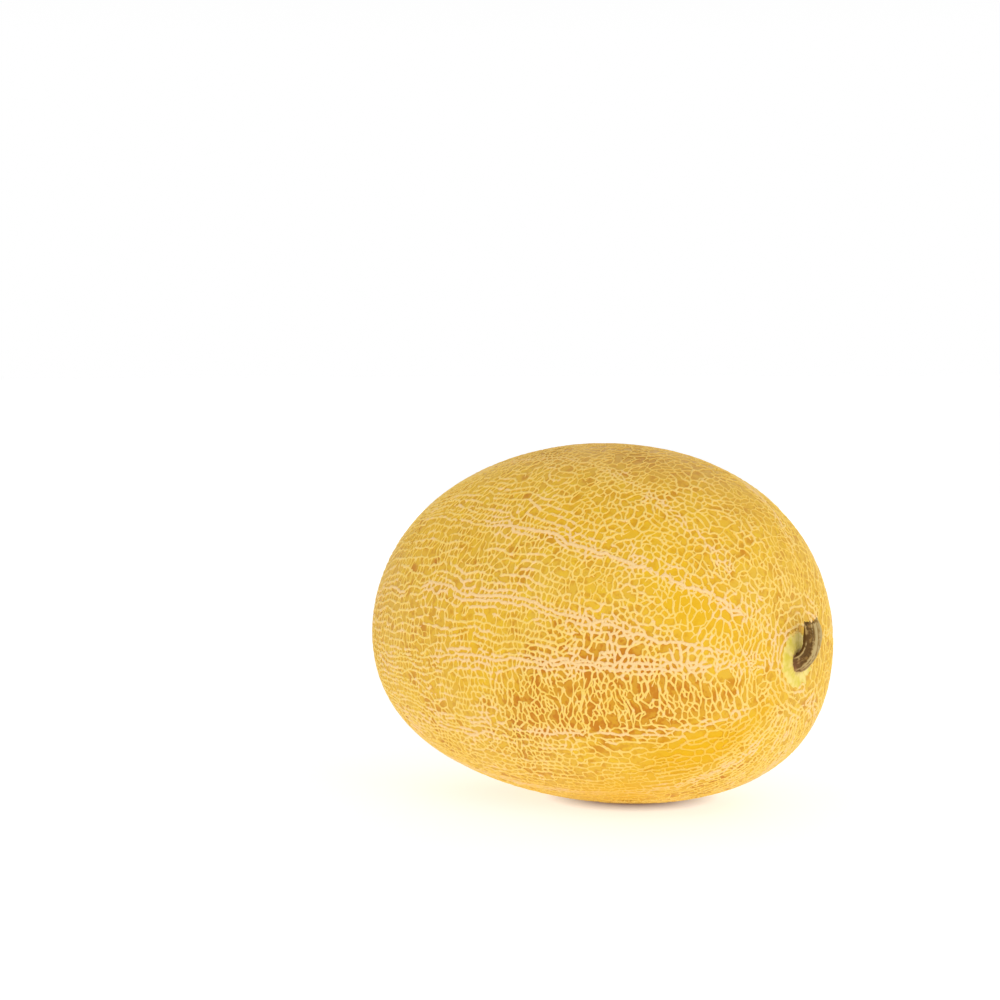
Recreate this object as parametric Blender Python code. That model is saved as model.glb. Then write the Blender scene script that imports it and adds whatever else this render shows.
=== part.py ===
"""A whole netted yellow melon lying on its side, with its dried stalk.

The origin is in the middle of the flat spot that the fruit rests on. +X points to the stalk,
+Z points up, and -Y is the side that carries the strongest veins. Lengths are in metres.

The rind is one closed skin of cells. Their shared borders are the crests of the net, and each
cell is sunk between them. Pairs of cells that mirror each other across a line make the long veins.
"""
import math

import bmesh
import bpy
import numpy as np
from mathutils import Vector

COLLECTION = "netted_melon"

# The fruit's outer size, over the crests of the net
HALF_LENGTH = 0.120
HALF_WIDTH = 0.0903
BLUNTNESS = 0.711        # 1 would be an ellipsoid, less is blunter at both ends
EGG = 0.046              # how much fuller the stalk half is
SAG = 0.095              # how far the widest section and the ends hang below the middle height
REST_CUT = 0.0015        # height of the cap that the flat spot takes off
END_SHIFT = (-0.0045, -0.0028)   # how far the stalk's end lies off the axis, along Y and Z
END_REACH = 0.038                # how wide a part of the rind that end draws along

# The net, with cells larger than life
NET_SEED = 11
CELL = 0.0152            # usual width of a cell
FREE_CELLS = 205         # cells between the veins
CELL_SPACING = 0.52      # least distance between free cells, as a share of a cell
RELAX_ROUNDS = 5
RIDGE_HALF_WIDTH = 0.0021
RIDGE_HEIGHT = 0.0013
WORN_HEIGHT = 0.0003     # height of the net round the flat spot
WORN_REACH = 0.034
VEIN_RISE = 0.0004       # a vein stands this much prouder than the net
FLOOR_CROWN = 0.0002
SHORTEST_EDGE = 0.0015

# The veins, each by its roll at the stalk, at the middle and at the far end, in degrees, and by
# how far it runs to the stalk, as a share of the half length. Roll is 0 at -Y and grows upward.
VEINS_SEEN = (
    (40, 60, 64, 0.80),
    (24, 41, 54, 0.92),
    (3, 16, 21, 0.92),
    (-3, -3, -6, 0.60),
    (-31, -24, -27, 0.90),
)
VEINS_HIDDEN = 7
HIDDEN_SWING = (-4, 3)           # how far a hidden vein turns at the stalk and at the far end
VEIN_START = -0.93               # where the veins start, near the far end
VEIN_PAIR = 0.42                 # a pair's seeds lie this share of a cell off the vein
VEIN_JITTER = 0.22               # how unevenly the pairs follow each other, as a share of a cell

# The pale disc round the stalk, and the scar at the far end
DISC_RADIUS = 0.0130
DISC_CELLS = 13
SCAR_RADIUS = 0.0062
SCAR_CELLS = 8
RING_WIDTH = 0.0072
RING_TURN = 0.3                  # how far a ring is turned, as a share of one of its cells
DISC_RIM = 0.0012
DISC_DIP = 0.0006
DISC_PAD = 0.0004

# The dried stalk
STALK_PATH = (                   # out along X, sideways along Y, up along Z, and radius, in mm
    (0.0, 0.0, 0.0, 5.0),
    (1.4, 0.0, 0.0, 4.9),
    (3.3, 0.0, 0.5, 4.3),
    (5.7, 0.1, 2.0, 3.8),
    (7.8, 0.2, 4.6, 3.8),
    (9.0, 0.3, 8.2, 3.9),
    (9.2, 0.4, 12.2, 4.1),
    (8.8, 0.4, 16.2, 4.3),
    (8.2, 0.3, 19.2, 4.4),
)
STALK_RIBS = 5
STALK_RIB_DEPTH = 0.10
STALK_SIDES = 20
STALK_RINGS = 15
STALK_SAMPLES = 400              # points along the path while it is smoothed
STALK_SMOOTHING = 41             # how many of them one smoothed point is drawn from
SOCKET_DEPTH = 0.0012
SOCKET_RADIUS = 0.0060
CLEARANCE = 0.0003

TABLE_STEPS = 4000
CENTRE_HEIGHT = HALF_WIDTH - REST_CUT


def profile(s):
    """Place along the axis and radius of the fruit at s, from -pi/2 to pi/2."""
    t = np.sin(s)
    return HALF_LENGTH * t, HALF_WIDTH * np.abs(np.cos(s)) ** BLUNTNESS * (1 + EGG * t)


def latitude_table():
    """Tables of s, of the length along the skin, and of the latitude that keeps cells round."""
    s = np.linspace(-math.pi / 2 + 1e-5, math.pi / 2 - 1e-5, TABLE_STEPS)
    x, r = profile(s)
    step = np.hypot(np.diff(x), np.diff(r))
    length = np.concatenate(([0.0], np.cumsum(step)))
    latitude = np.concatenate(([0.0], np.cumsum(step * 2 / (r[1:] + r[:-1]))))
    return s, length, latitude - np.interp(0.0, s, latitude)


S_TABLE, LENGTH_TABLE, LATITUDE_TABLE = latitude_table()


def direction(s, roll):
    """Unit vectors that stand for places on the fruit, so that a sphere's cells fit it."""
    latitude = np.interp(s, S_TABLE, LATITUDE_TABLE)
    flat = 1 / np.cosh(latitude)
    return np.stack([np.tanh(latitude), -np.cos(roll) * flat, np.sin(roll) * flat], axis=-1)


def place(directions):
    """The s and roll of unit vectors."""
    latitude = np.arctanh(np.clip(directions[..., 0], -0.9999999, 0.9999999))
    return (np.interp(latitude, LATITUDE_TABLE, S_TABLE),
            np.arctan2(directions[..., 2], -directions[..., 1]))


def skin(s, roll, lift=0.0):
    """Points of the fruit about its middle, lift above the crests, with its sag and its off end."""
    x, r = profile(s)
    x_ahead, r_ahead = profile(np.minimum(s + 1e-4, math.pi / 2))
    x_behind, r_behind = profile(np.maximum(s - 1e-4, -math.pi / 2))
    along, across = x_ahead - x_behind, r_ahead - r_behind
    size = np.hypot(along, across)
    x = x - lift * across / size
    r = r + lift * along / size
    z = r * np.sin(roll)
    z = z - SAG * HALF_WIDTH * (1 - (z / HALF_WIDTH) ** 2)
    drawn = np.exp(-(r / END_REACH) ** 2) * (x > 0)
    return np.stack([x, END_SHIFT[0] * drawn - r * np.cos(roll), z + END_SHIFT[1] * drawn], axis=-1)


def rest_middle():
    """Where along the fruit its lowest point is."""
    s = np.linspace(-0.6, 0.6, 2401)
    x, r = profile(s)
    return float(x[np.argmax(r)])


REST_X = rest_middle()


def in_frame(points):
    """Points about the fruit's middle, moved into the part's frame."""
    return points + np.array([-REST_X, 0.0, CENTRE_HEIGHT])


def vein_roll(vein, s):
    """Roll of a vein, in radians, drawn as a smooth curve through its three angles."""
    stalk, middle, far = (math.radians(a) for a in vein[:3])
    t = np.sin(s)
    swing = (stalk - far) / 2
    bow = (stalk + far) / 2 - middle
    return middle + swing * t + bow * t * t


def all_veins():
    """The veins that show, and others spread evenly over the rest of the fruit."""
    first = VEINS_SEEN[0][1]
    room = 360 - (first - VEINS_SEEN[-1][1])
    hidden = [first + room * (i + 1) / (VEINS_HIDDEN + 1) for i in range(VEINS_HIDDEN)]
    stalk, far = HIDDEN_SWING
    return list(VEINS_SEEN) + [(a + stalk, a, a + far, VEINS_SEEN[1][3]) for a in hidden]


def vein_seeds():
    """Pairs of seeds that mirror each other across each vein."""
    seeds = []
    rng = np.random.default_rng(NET_SEED)
    veins = all_veins()
    start = np.interp(math.asin(VEIN_START), S_TABLE, LENGTH_TABLE)
    for vein in veins:
        end = np.interp(math.asin(vein[3]), S_TABLE, LENGTH_TABLE)
        for length in np.arange(start, end, CELL):
            length += rng.uniform(-VEIN_JITTER, VEIN_JITTER) * CELL
            s = float(np.interp(length, LENGTH_TABLE, S_TABLE))
            radius = float(profile(s)[1])
            roll = float(vein_roll(vein, s))
            others = [float(vein_roll(v, s)) for v in veins if v != vein and math.sin(s) < v[3]]
            room = min(abs(math.remainder(o - roll, 2 * math.pi)) for o in others)
            off = min(VEIN_PAIR * CELL / radius, room / 4)
            seeds += [direction(s, roll - off), direction(s, roll + off)]
    return seeds


def ring_seeds(end, radius, count):
    """Two rings of seeds whose cells meet on a circle round one end of the fruit."""
    seeds = []
    for out in (-RING_WIDTH / 2, RING_WIDTH / 2):
        total = LENGTH_TABLE[-1]
        length = radius + out
        s = float(np.interp(total - length if end > 0 else length, LENGTH_TABLE, S_TABLE))
        for i in range(count):
            seeds.append(direction(s, 2 * math.pi * (i + RING_TURN) / count))
    return seeds


def free_seeds(fixed):
    """Seeds between the veins, kept off the fixed ones, spread evenly over the skin."""
    rng = np.random.default_rng(NET_SEED)
    _, r = profile(S_TABLE)
    share = np.concatenate(([0.0], np.cumsum(np.diff(LENGTH_TABLE) * (r[1:] + r[:-1]))))
    total = LENGTH_TABLE[-1]
    low = np.interp(SCAR_RADIUS + RING_WIDTH, LENGTH_TABLE, S_TABLE)
    high = np.interp(total - DISC_RADIUS - RING_WIDTH, LENGTH_TABLE, S_TABLE)
    kept = [skin(*place(f)) for f in fixed]
    seeds = []
    while len(seeds) < FREE_CELLS:
        s = float(np.interp(rng.uniform(0, share[-1]), share, S_TABLE))
        roll = rng.uniform(-math.pi, math.pi)
        if not low < s < high:
            continue
        point = skin(s, roll)
        nearest = min(float(np.linalg.norm(point - k)) for k in kept)
        if nearest > CELL_SPACING * CELL:
            kept.append(point)
            seeds.append(direction(s, roll))
    return seeds


def hull_of(seeds):
    """The convex hull of seeds on the unit sphere, whose faces' normals are the net's corners."""
    hull = bmesh.new()
    for seed in seeds:
        hull.verts.new(seed)
    hull.verts.index_update()
    bmesh.ops.convex_hull(hull, input=hull.verts[:])
    hull.verts.ensure_lookup_table()
    hull.faces.index_update()
    hull.normal_update()
    return hull


def outward(face):
    """A hull face's normal, pointing away from the sphere's middle."""
    normal = face.normal
    return normal if normal.dot(face.verts[0].co) > 0 else -normal


def relaxed(fixed, free):
    """The free seeds after they have moved to the middle of their cells a few times."""
    for _ in range(RELAX_ROUNDS):
        hull = hull_of(fixed + free)
        for i in range(len(free)):
            corners = [outward(f) for f in hull.verts[len(fixed) + i].link_faces]
            middle = sum((c for c in corners), Vector()) / len(corners)
            free[i] = np.array(middle.normalized())
        hull.free()
    return free


def around(vertex):
    """The faces round a hull's vertex, in turn."""
    axis = vertex.co.normalized()
    side = axis.orthogonal().normalized()
    other = axis.cross(side)

    def turn(face):
        corner = outward(face)
        return math.atan2(corner.dot(other), corner.dot(side))

    return sorted(vertex.link_faces, key=turn)


def cell_mesh(seeds, vein_count):
    """The fruit's skin as a bmesh of cells, with the veins raised."""
    hull = hull_of(seeds)
    corners = np.array([outward(f) for f in hull.faces])
    on_vein = np.zeros(len(corners))
    for face in hull.faces:
        index = sorted(v.index for v in face.verts)
        pairs = [a for a, b in ((index[0], index[1]), (index[1], index[2])) if b == a + 1]
        on_vein[face.index] = any(a % 2 == 0 and a + 1 < vein_count for a in pairs)
    s, roll = place(corners)
    points = in_frame(skin(s, roll, VEIN_RISE * on_vein))
    cells = bmesh.new()
    verts = [cells.verts.new(p) for p in points]
    for seed in hull.verts:
        cells.faces.new([verts[f.index] for f in around(seed)])
    hull.free()
    bmesh.ops.remove_doubles(cells, verts=cells.verts[:], dist=SHORTEST_EDGE)
    cells.normal_update()
    return cells


def end_faces(cells, end, radius):
    """The faces of a cell mesh inside a circle round one end of the fruit."""
    tip = Vector(in_frame(skin(end * math.pi / 2, 0.0)))
    return [f for f in cells.faces if (f.calc_center_median() - tip).length < radius]


def merged_end(cells, end, radius):
    """The cells inside a circle round one end, joined into a single face."""
    joined = bmesh.ops.dissolve_faces(cells, faces=end_faces(cells, end, radius), use_verts=True)
    return joined["region"][0]


def stepped(cells, face, steps):
    """A face inset by turns, each by a width and a height."""
    for width, height in steps:
        bmesh.ops.inset_individual(cells, faces=[face], thickness=width, depth=height,
                                   use_even_offset=True)


def sink(cells, faces, height):
    """Sinks each cell between its borders, and gives its floor a slight crown."""
    bmesh.ops.inset_individual(cells, faces=faces, thickness=RIDGE_HALF_WIDTH, depth=-height,
                               use_even_offset=True)
    bmesh.ops.poke(cells, faces=faces, offset=FLOOR_CROWN, center_mode="MEAN")


def collection(name):
    """A new collection in the scene."""
    made = bpy.data.collections.new(name)
    bpy.context.scene.collection.children.link(made)
    return made


def moved_to(obj, target):
    """Puts an object in one collection only."""
    for owner in list(obj.users_collection):
        owner.objects.unlink(obj)
    target.objects.link(obj)


def material(name, colour, roughness):
    """A plain Principled material."""
    made = bpy.data.materials.new(name)
    made.use_nodes = True
    shader = made.node_tree.nodes["Principled BSDF"]
    shader.inputs["Base Color"].default_value = (*colour, 1.0)
    shader.inputs["Roughness"].default_value = roughness
    shader.inputs["Metallic"].default_value = 0.0
    return made


def as_cutter(obj, target):
    """Keeps an object out of the build, as a guide or a cutter."""
    obj.hide_render = True
    obj.display_type = "WIRE"
    moved_to(obj, target)


def cut_by(obj, cutter):
    """Takes a cutter's shape out of an object."""
    cut = obj.modifiers.new(cutter.name, "BOOLEAN")
    cut.operation = "DIFFERENCE"
    cut.solver = "EXACT"
    cut.object = cutter


def build_fruit(parts, cutters):
    """The whole fruit with its net, its end discs, its flat spot and the stalk's socket."""
    veins = vein_seeds()
    rings = (ring_seeds(1, DISC_RADIUS, DISC_CELLS) + ring_seeds(-1, SCAR_RADIUS, SCAR_CELLS))
    fixed = veins + rings
    free = relaxed(fixed, free_seeds(fixed))
    cells = cell_mesh(fixed + free, len(veins))
    disc = merged_end(cells, 1, DISC_RADIUS)
    scar = merged_end(cells, -1, SCAR_RADIUS)
    cells.normal_update()
    worn, plain = [], []
    for face in cells.faces:
        if face in (disc, scar):
            continue
        (worn if face.calc_center_median().length < WORN_REACH else plain).append(face)
    stepped(cells, disc, ((DISC_RIM, -DISC_DIP), (DISC_RIM, DISC_PAD)))
    stepped(cells, scar, ((DISC_RIM, -DISC_DIP), (DISC_RIM, DISC_PAD)))
    sink(cells, plain, RIDGE_HEIGHT)
    sink(cells, worn, WORN_HEIGHT)
    bmesh.ops.recalc_face_normals(cells, faces=cells.faces[:])
    mesh = bpy.data.meshes.new("fruit")
    cells.to_mesh(mesh)
    cells.free()
    mesh.shade_smooth()
    fruit = bpy.data.objects.new("fruit", mesh)
    parts.objects.link(fruit)
    mesh.materials.append(material("golden_rind", (0.80, 0.50, 0.10), 0.55))

    bpy.ops.mesh.primitive_cube_add(size=HALF_WIDTH, location=(0, 0, -HALF_WIDTH / 2))
    ground = bpy.context.object
    ground.name = "rest_cutter"
    as_cutter(ground, cutters)
    cut_by(fruit, ground)

    bpy.ops.mesh.primitive_cylinder_add(
        vertices=24, radius=SOCKET_RADIUS, depth=2 * SOCKET_DEPTH,
        location=stalk_foot(0.0), rotation=(0, math.pi / 2, 0))
    socket = bpy.context.object
    socket.name = "socket_cutter"
    as_cutter(socket, cutters)
    cut_by(fruit, socket)
    return fruit


def stalk_foot(sunk):
    """The middle of the disc, sunk by a depth."""
    tip = in_frame(skin(math.pi / 2, 0.0))
    return (float(tip[0]) - DISC_DIP + DISC_PAD - sunk, float(tip[1]), float(tip[2]))


def rib_profile(cutters):
    """The stalk's section: a round with ribs, of radius 1 mm."""
    curve = bpy.data.curves.new("stalk_section", "CURVE")
    curve.dimensions = "2D"
    spline = curve.splines.new("POLY")
    spline.points.add(STALK_SIDES - 1)
    spline.use_cyclic_u = True
    for i, point in enumerate(spline.points):
        angle = -2 * math.pi * i / STALK_SIDES
        radius = 0.001 * (1 + STALK_RIB_DEPTH * math.cos(STALK_RIBS * angle))
        point.co = (radius * math.cos(angle), radius * math.sin(angle), 0, 1)
    section = bpy.data.objects.new("stalk_section", curve)
    cutters.objects.link(section)
    section.hide_render = True
    section.display_type = "WIRE"
    return section


def stalk_points():
    """Points and radii along the stalk, read from a smooth curve through its path."""
    path = np.array(STALK_PATH)
    knots = np.concatenate(([0.0], np.cumsum(np.linalg.norm(np.diff(path[:, :3], axis=0), axis=1))))
    places = np.linspace(0, knots[-1], STALK_SAMPLES)
    dense = np.stack([np.interp(places, knots, path[:, i]) for i in range(4)], axis=1)
    half = STALK_SMOOTHING // 2
    padded = np.pad(dense, ((half, half), (0, 0)), mode="reflect", reflect_type="odd")
    kernel = np.hanning(STALK_SMOOTHING + 2)[1:-1]
    kernel /= kernel.sum()
    soft = np.stack([np.convolve(padded[:, i], kernel, mode="valid") for i in range(4)], axis=1)
    picks = np.linspace(0, len(soft) - 1, STALK_RINGS).round().astype(int)
    return soft[picks]


def build_stem(parts, cutters):
    """The dried stalk: a ribbed tube that leaves the disc and bends upward."""
    curve = bpy.data.curves.new("stem", "CURVE")
    curve.dimensions = "3D"
    curve.bevel_mode = "OBJECT"
    curve.bevel_object = rib_profile(cutters)
    curve.use_fill_caps = True
    curve.twist_mode = "MINIMUM"
    foot = stalk_foot(SOCKET_DEPTH - CLEARANCE)
    points = stalk_points()
    spline = curve.splines.new("POLY")
    spline.points.add(len(points) - 1)
    for point, (out, side, up, radius) in zip(spline.points, points):
        point.co = (foot[0] + out / 1000, foot[1] + side / 1000, foot[2] + up / 1000, 1)
        point.radius = radius
    spline.use_smooth = True
    stem = bpy.data.objects.new("stem", curve)
    parts.objects.link(stem)
    curve.materials.append(material("dried_stalk", (0.30, 0.22, 0.11), 0.85))
    return stem


def main():
    """Clears the scene and models the melon."""
    for obj in list(bpy.data.objects):
        bpy.data.objects.remove(obj, do_unlink=True)
    parts = collection(COLLECTION)
    cutters = collection("cutters")
    build_fruit(parts, cutters)
    build_stem(parts, cutters)


main()
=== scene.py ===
"""Looks of a whole netted yellow melon, lying on its side with its dried stalk.

The rind is a golden skin under a raised cork net. The net is grown as the real one is: cells stand
in rows between the long veins and in rings round both ends, and every border between two cells may
carry a cork ridge. Each region of the rind has its own way of drawing the borders: closed
polygons, rungs that cross the fruit, or lines that run along it.

A place on the fruit is given by s, from -pi/2 at the far end to pi/2 at the stalk, or by its sine
t, and by roll, the turn about the long axis, which is 0 at -Y and grows upward. Lengths are in
metres.
"""
from __future__ import annotations

import logging
import math
from dataclasses import dataclass
from enum import Enum
from functools import cached_property
from typing import NamedTuple

import bmesh
import bpy
import numpy as np
from mathutils import Matrix, Vector

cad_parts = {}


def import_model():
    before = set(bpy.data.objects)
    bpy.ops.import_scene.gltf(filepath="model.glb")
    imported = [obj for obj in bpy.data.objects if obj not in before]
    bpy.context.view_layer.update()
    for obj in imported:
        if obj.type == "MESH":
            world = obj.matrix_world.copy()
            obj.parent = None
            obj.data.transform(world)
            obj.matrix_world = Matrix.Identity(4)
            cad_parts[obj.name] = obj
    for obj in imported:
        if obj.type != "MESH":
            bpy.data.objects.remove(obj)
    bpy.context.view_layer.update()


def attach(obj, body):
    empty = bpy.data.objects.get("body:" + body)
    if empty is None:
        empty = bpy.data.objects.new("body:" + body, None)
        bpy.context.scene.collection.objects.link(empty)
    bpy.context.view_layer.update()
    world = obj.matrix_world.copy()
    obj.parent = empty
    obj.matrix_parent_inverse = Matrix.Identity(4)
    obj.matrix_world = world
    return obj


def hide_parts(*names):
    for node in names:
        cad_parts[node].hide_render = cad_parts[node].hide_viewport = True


LOG = logging.getLogger("netted_melon")
BODY = "root"
TAU = 2 * math.pi
TINY = 1e-15

Colour = tuple[float, float, float, float]
Arrays = dict[str, np.ndarray]
# What a node's input takes: a link or a value.
Feed = "Value | bpy.types.NodeSocket | float | tuple[float, ...]"


def linear(red: int, green: int, blue: int) -> Colour:
    """A colour given as screen values from 0 to 255, as the linear colour that a shader takes.

    Args:
        red: the red value.
        green: the green value.
        blue: the blue value.

    Returns:
        The linear colour with full alpha.
    """
    values = [c / 255 for c in (red, green, blue)]
    return (*((v / 12.92) if v <= 0.04045 else ((v + 0.055) / 1.055) ** 2.4 for v in values), 1.0)


def unit(vectors: np.ndarray) -> np.ndarray:
    """Vectors brought to length 1."""
    return vectors / (np.linalg.norm(vectors, axis=-1, keepdims=True) + TINY)


def wrapped(angle: np.ndarray) -> np.ndarray:
    """Angles brought to between -pi and pi."""
    return np.angle(np.exp(1j * angle))


# Shape of the fruit

class SkinTable(NamedTuple):
    """Samples of s, the length of skin up to each, and each one's latitude on a round globe."""

    s: np.ndarray
    length: np.ndarray
    latitude: np.ndarray


@dataclass(frozen=True)
class MelonShape:
    """The fruit's outer form, over the crests of its net, in the part's own frame."""

    half_length: float = 0.120
    half_width: float = 0.0903
    bluntness: float = 0.711
    egg: float = 0.046
    sag: float = 0.095
    rest_cut: float = 0.0015
    end_shift: tuple[float, float] = (-0.0045, -0.0028)
    end_reach: float = 0.038
    table_steps: int = 6000
    nudge: float = 1e-4
    last_s: float = 1.5706

    def profile(self, s: np.ndarray) -> tuple[np.ndarray, np.ndarray]:
        """The fruit's outline.

        Args:
            s: places along the fruit.

        Returns:
            Their distance along the axis from the middle, and the radius there.
        """
        t = np.sin(s)
        radius = self.half_width * np.abs(np.cos(s)) ** self.bluntness * (1 + self.egg * t)
        return self.half_length * t, radius

    @cached_property
    def table(self) -> SkinTable:
        """Lengths along the skin, and the latitudes that keep small shapes as they are.

        Returns:
            The table, with latitude 0 at the fruit's middle.
        """
        s = np.linspace(-math.pi / 2 + 1e-5, math.pi / 2 - 1e-5, self.table_steps)
        x, r = self.profile(s)
        step = np.hypot(np.diff(x), np.diff(r))
        length = np.append(0.0, np.cumsum(step))
        latitude = np.append(0.0, np.cumsum(step * 2 / (r[1:] + r[:-1])))
        return SkinTable(s, length, latitude - np.interp(0.0, s, latitude))

    @cached_property
    def centre(self) -> np.ndarray:
        """The fruit's middle in the part's frame, whose origin is the middle of the flat spot."""
        s = np.linspace(-0.6, 0.6, 2401)
        x, r = self.profile(s)
        return np.array([-float(x[np.argmax(r)]), 0.0, self.half_width - self.rest_cut])

    def skin(self, s: np.ndarray, roll: np.ndarray, lift: float | np.ndarray = 0.0) -> np.ndarray:
        """Points of the fruit, lift above the crests' surface.

        Args:
            s: places along the fruit.
            roll: places round it.
            lift: how far the points stand proud.

        Returns:
            An array of points in the part's frame.
        """
        x, r = self.profile(s)
        ahead = self.profile(np.minimum(s + self.nudge, math.pi / 2))
        behind = self.profile(np.maximum(s - self.nudge, -math.pi / 2))
        along, across = ahead[0] - behind[0], ahead[1] - behind[1]
        size = np.hypot(along, across)
        x = x - lift * across / size
        r = r + lift * along / size
        z = r * np.sin(roll)
        z = z - self.sag * self.half_width * (1 - (z / self.half_width) ** 2)
        drawn = np.exp(-(r / self.end_reach) ** 2) * (x > 0)
        y = self.end_shift[0] * drawn - r * np.cos(roll)
        return np.stack([x, y, z + self.end_shift[1] * drawn], axis=-1) + self.centre

    def axes(self, s: np.ndarray, roll: np.ndarray) -> tuple[np.ndarray, np.ndarray, np.ndarray]:
        """Directions on the skin.

        Args:
            s: places along the fruit.
            roll: places round it.

        Returns:
            Unit vectors along the fruit, across it and out of its skin.
        """
        low, high = (np.clip(s + step, -self.last_s, self.last_s)
                     for step in (-self.nudge, self.nudge))
        along = unit(self.skin(high, roll) - self.skin(low, roll))
        across = unit(self.skin(s, roll + self.nudge) - self.skin(s, roll - self.nudge))
        return along, across, unit(np.cross(along, across))

    def direction(self, s: np.ndarray, roll: np.ndarray) -> np.ndarray:
        """Unit vectors that stand for places on the skin and keep small cells round.

        Args:
            s: places along the fruit.
            roll: places round it.

        Returns:
            The vectors.
        """
        latitude = np.interp(s, self.table.s, self.table.latitude)
        flat = 1 / np.cosh(latitude)
        return np.stack([np.tanh(latitude), -np.cos(roll) * flat, np.sin(roll) * flat], axis=-1)

    def place(self, directions: np.ndarray) -> tuple[np.ndarray, np.ndarray]:
        """The places that unit vectors stand for.

        Args:
            directions: the vectors.

        Returns:
            The s and roll of each.
        """
        latitude = np.arctanh(np.clip(directions[..., 0], -0.9999999, 0.9999999))
        s = np.interp(latitude, self.table.latitude, self.table.s)
        return s, np.arctan2(directions[..., 2], -directions[..., 1])

    def s_at(self, length: np.ndarray) -> np.ndarray:
        """Places by their length along the skin.

        Args:
            length: the lengths from the far end or, below 0, from the stalk's end.

        Returns:
            The s of each.
        """
        length = np.where(length < 0, self.table.length[-1] + length, length)
        return np.interp(length, self.table.length, self.table.s)


@dataclass(frozen=True)
class Vein:
    """A long vein.

    It has a roll in degrees at the stalk, the middle and the far end, the t that it reaches to, a
    width as a share of a full ridge, and the t where it starts.
    """

    stalk: float
    middle: float
    far: float
    reach: float = 0.92
    width: float = 1.35
    start: float = -0.90

    def roll(self, s: np.ndarray) -> np.ndarray:
        """The vein's course.

        Args:
            s: places along the fruit.

        Returns:
            Its roll there, in radians.
        """
        stalk, middle, far = (math.radians(a) for a in (self.stalk, self.middle, self.far))
        t = np.sin(s)
        return middle + (stalk - far) / 2 * t + ((stalk + far) / 2 - middle) * t * t


def melon_veins() -> list[Vein]:
    """The veins of the fruit.

    Returns:
        Those that show from the front, and others spread evenly round the rest.
    """
    seen = [Vein(42, 70, 66, 0.97, 0.85), Vein(29.5, 40, 58, 0.99, 1.85, -0.15),
            Vein(4, 18, 20, 0.97, 1.45, -0.4), Vein(-1, -1, -6, 0.98, 1.35, -0.3),
            Vein(-31, -24, -27, 0.92, 0.85, 0.1)]
    hidden = 7
    room = 360 - (seen[0].middle - seen[-1].middle)
    middles = [seen[0].middle + room * (i + 1) / (hidden + 1) for i in range(hidden)]
    return seen + [Vein(a - 4, a, a + 3, width=1.05) for a in middles]


# The net's plan

class Weave(Enum):
    """How a region draws its net.

    The numbers are how ragged its cells are, the widths of the lines that run along the fruit and
    of the rungs between them as shares of a full ridge, the share of the lines that is missing,
    and how tall its rows are.
    """

    POLYGONS = (0.30, 0.88, 0.80, 0.03, 1.0)
    LADDERS = (0.20, 1.12, 0.50, 0.05, 0.75)
    RUNGS = (0.15, 0.66, 1.02, 0.11, 1.5)
    LINES = (0.18, 0.88, 0.50, 0.05, 0.9)
    WEB = (0.28, 1.14, 0.94, 0.05, 1.0)
    RINGS = (0.10, 0.98, 0.52, 0.06, 1.0)
    FAINT = (0.20, 0.70, 0.52, 0.08, 0.8)


@dataclass(frozen=True)
class Patch:
    """A soft edged patch of the rind: the t and roll of its middle, and how far it reaches."""

    t: float
    roll: float
    t_reach: float
    roll_reach: float

    def weight(self, t: np.ndarray, roll: np.ndarray) -> np.ndarray:
        """How strongly the patch holds.

        Args:
            t: places along the fruit.
            roll: places round it.

        Returns:
            A share from 0 to 1 for each place.
        """
        turn = np.degrees(wrapped(roll - math.radians(self.roll)))
        return np.exp(-((t - self.t) / self.t_reach) ** 2 - (turn / self.roll_reach) ** 2)


@dataclass(frozen=True)
class Region(Patch):
    """A patch with its own net: its weave, how far apart its rungs are and how many are missing."""

    weave: Weave
    rung: float
    gaps: float


# Where a tan is painted over the rind and the net, mostly over the top: painted shade, in part the
# rind's own tone.
TAN_SHADE_PATCHES = ((1.0, Patch(0.1, 84, 0.7, 22)), (0.5, Patch(-0.8, 20, 0.25, 40)))
GOLDEN = ((1.0, Patch(0.78, -42, 0.22, 12)), (0.8, Patch(0.36, -60, 0.28, 13)))
LIGHT = ((0.6, Patch(0.80, 26, 0.20, 22)),)
# Orange over the dense web and rungs: the rind's own orange, in part painted shade in the small
# cells between close ridges.
ORANGE_AND_SHADE_PATCHES = ((1.0, Patch(0.50, 2, 0.28, 12)), (0.8, Patch(0.30, -16, 0.30, 10)),
        (1.0, Patch(0.55, -17, 0.3, 9)))


def patched(patches: tuple[tuple[float, Patch], ...], t: np.ndarray,
            roll: np.ndarray) -> np.ndarray:
    """How strongly a few patches hold together.

    Args:
        patches: each patch with its strength.
        t: places along the fruit.
        roll: places round it.

    Returns:
        The sum for each place.
    """
    return sum(strength * patch.weight(t, roll) for strength, patch in patches)


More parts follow.
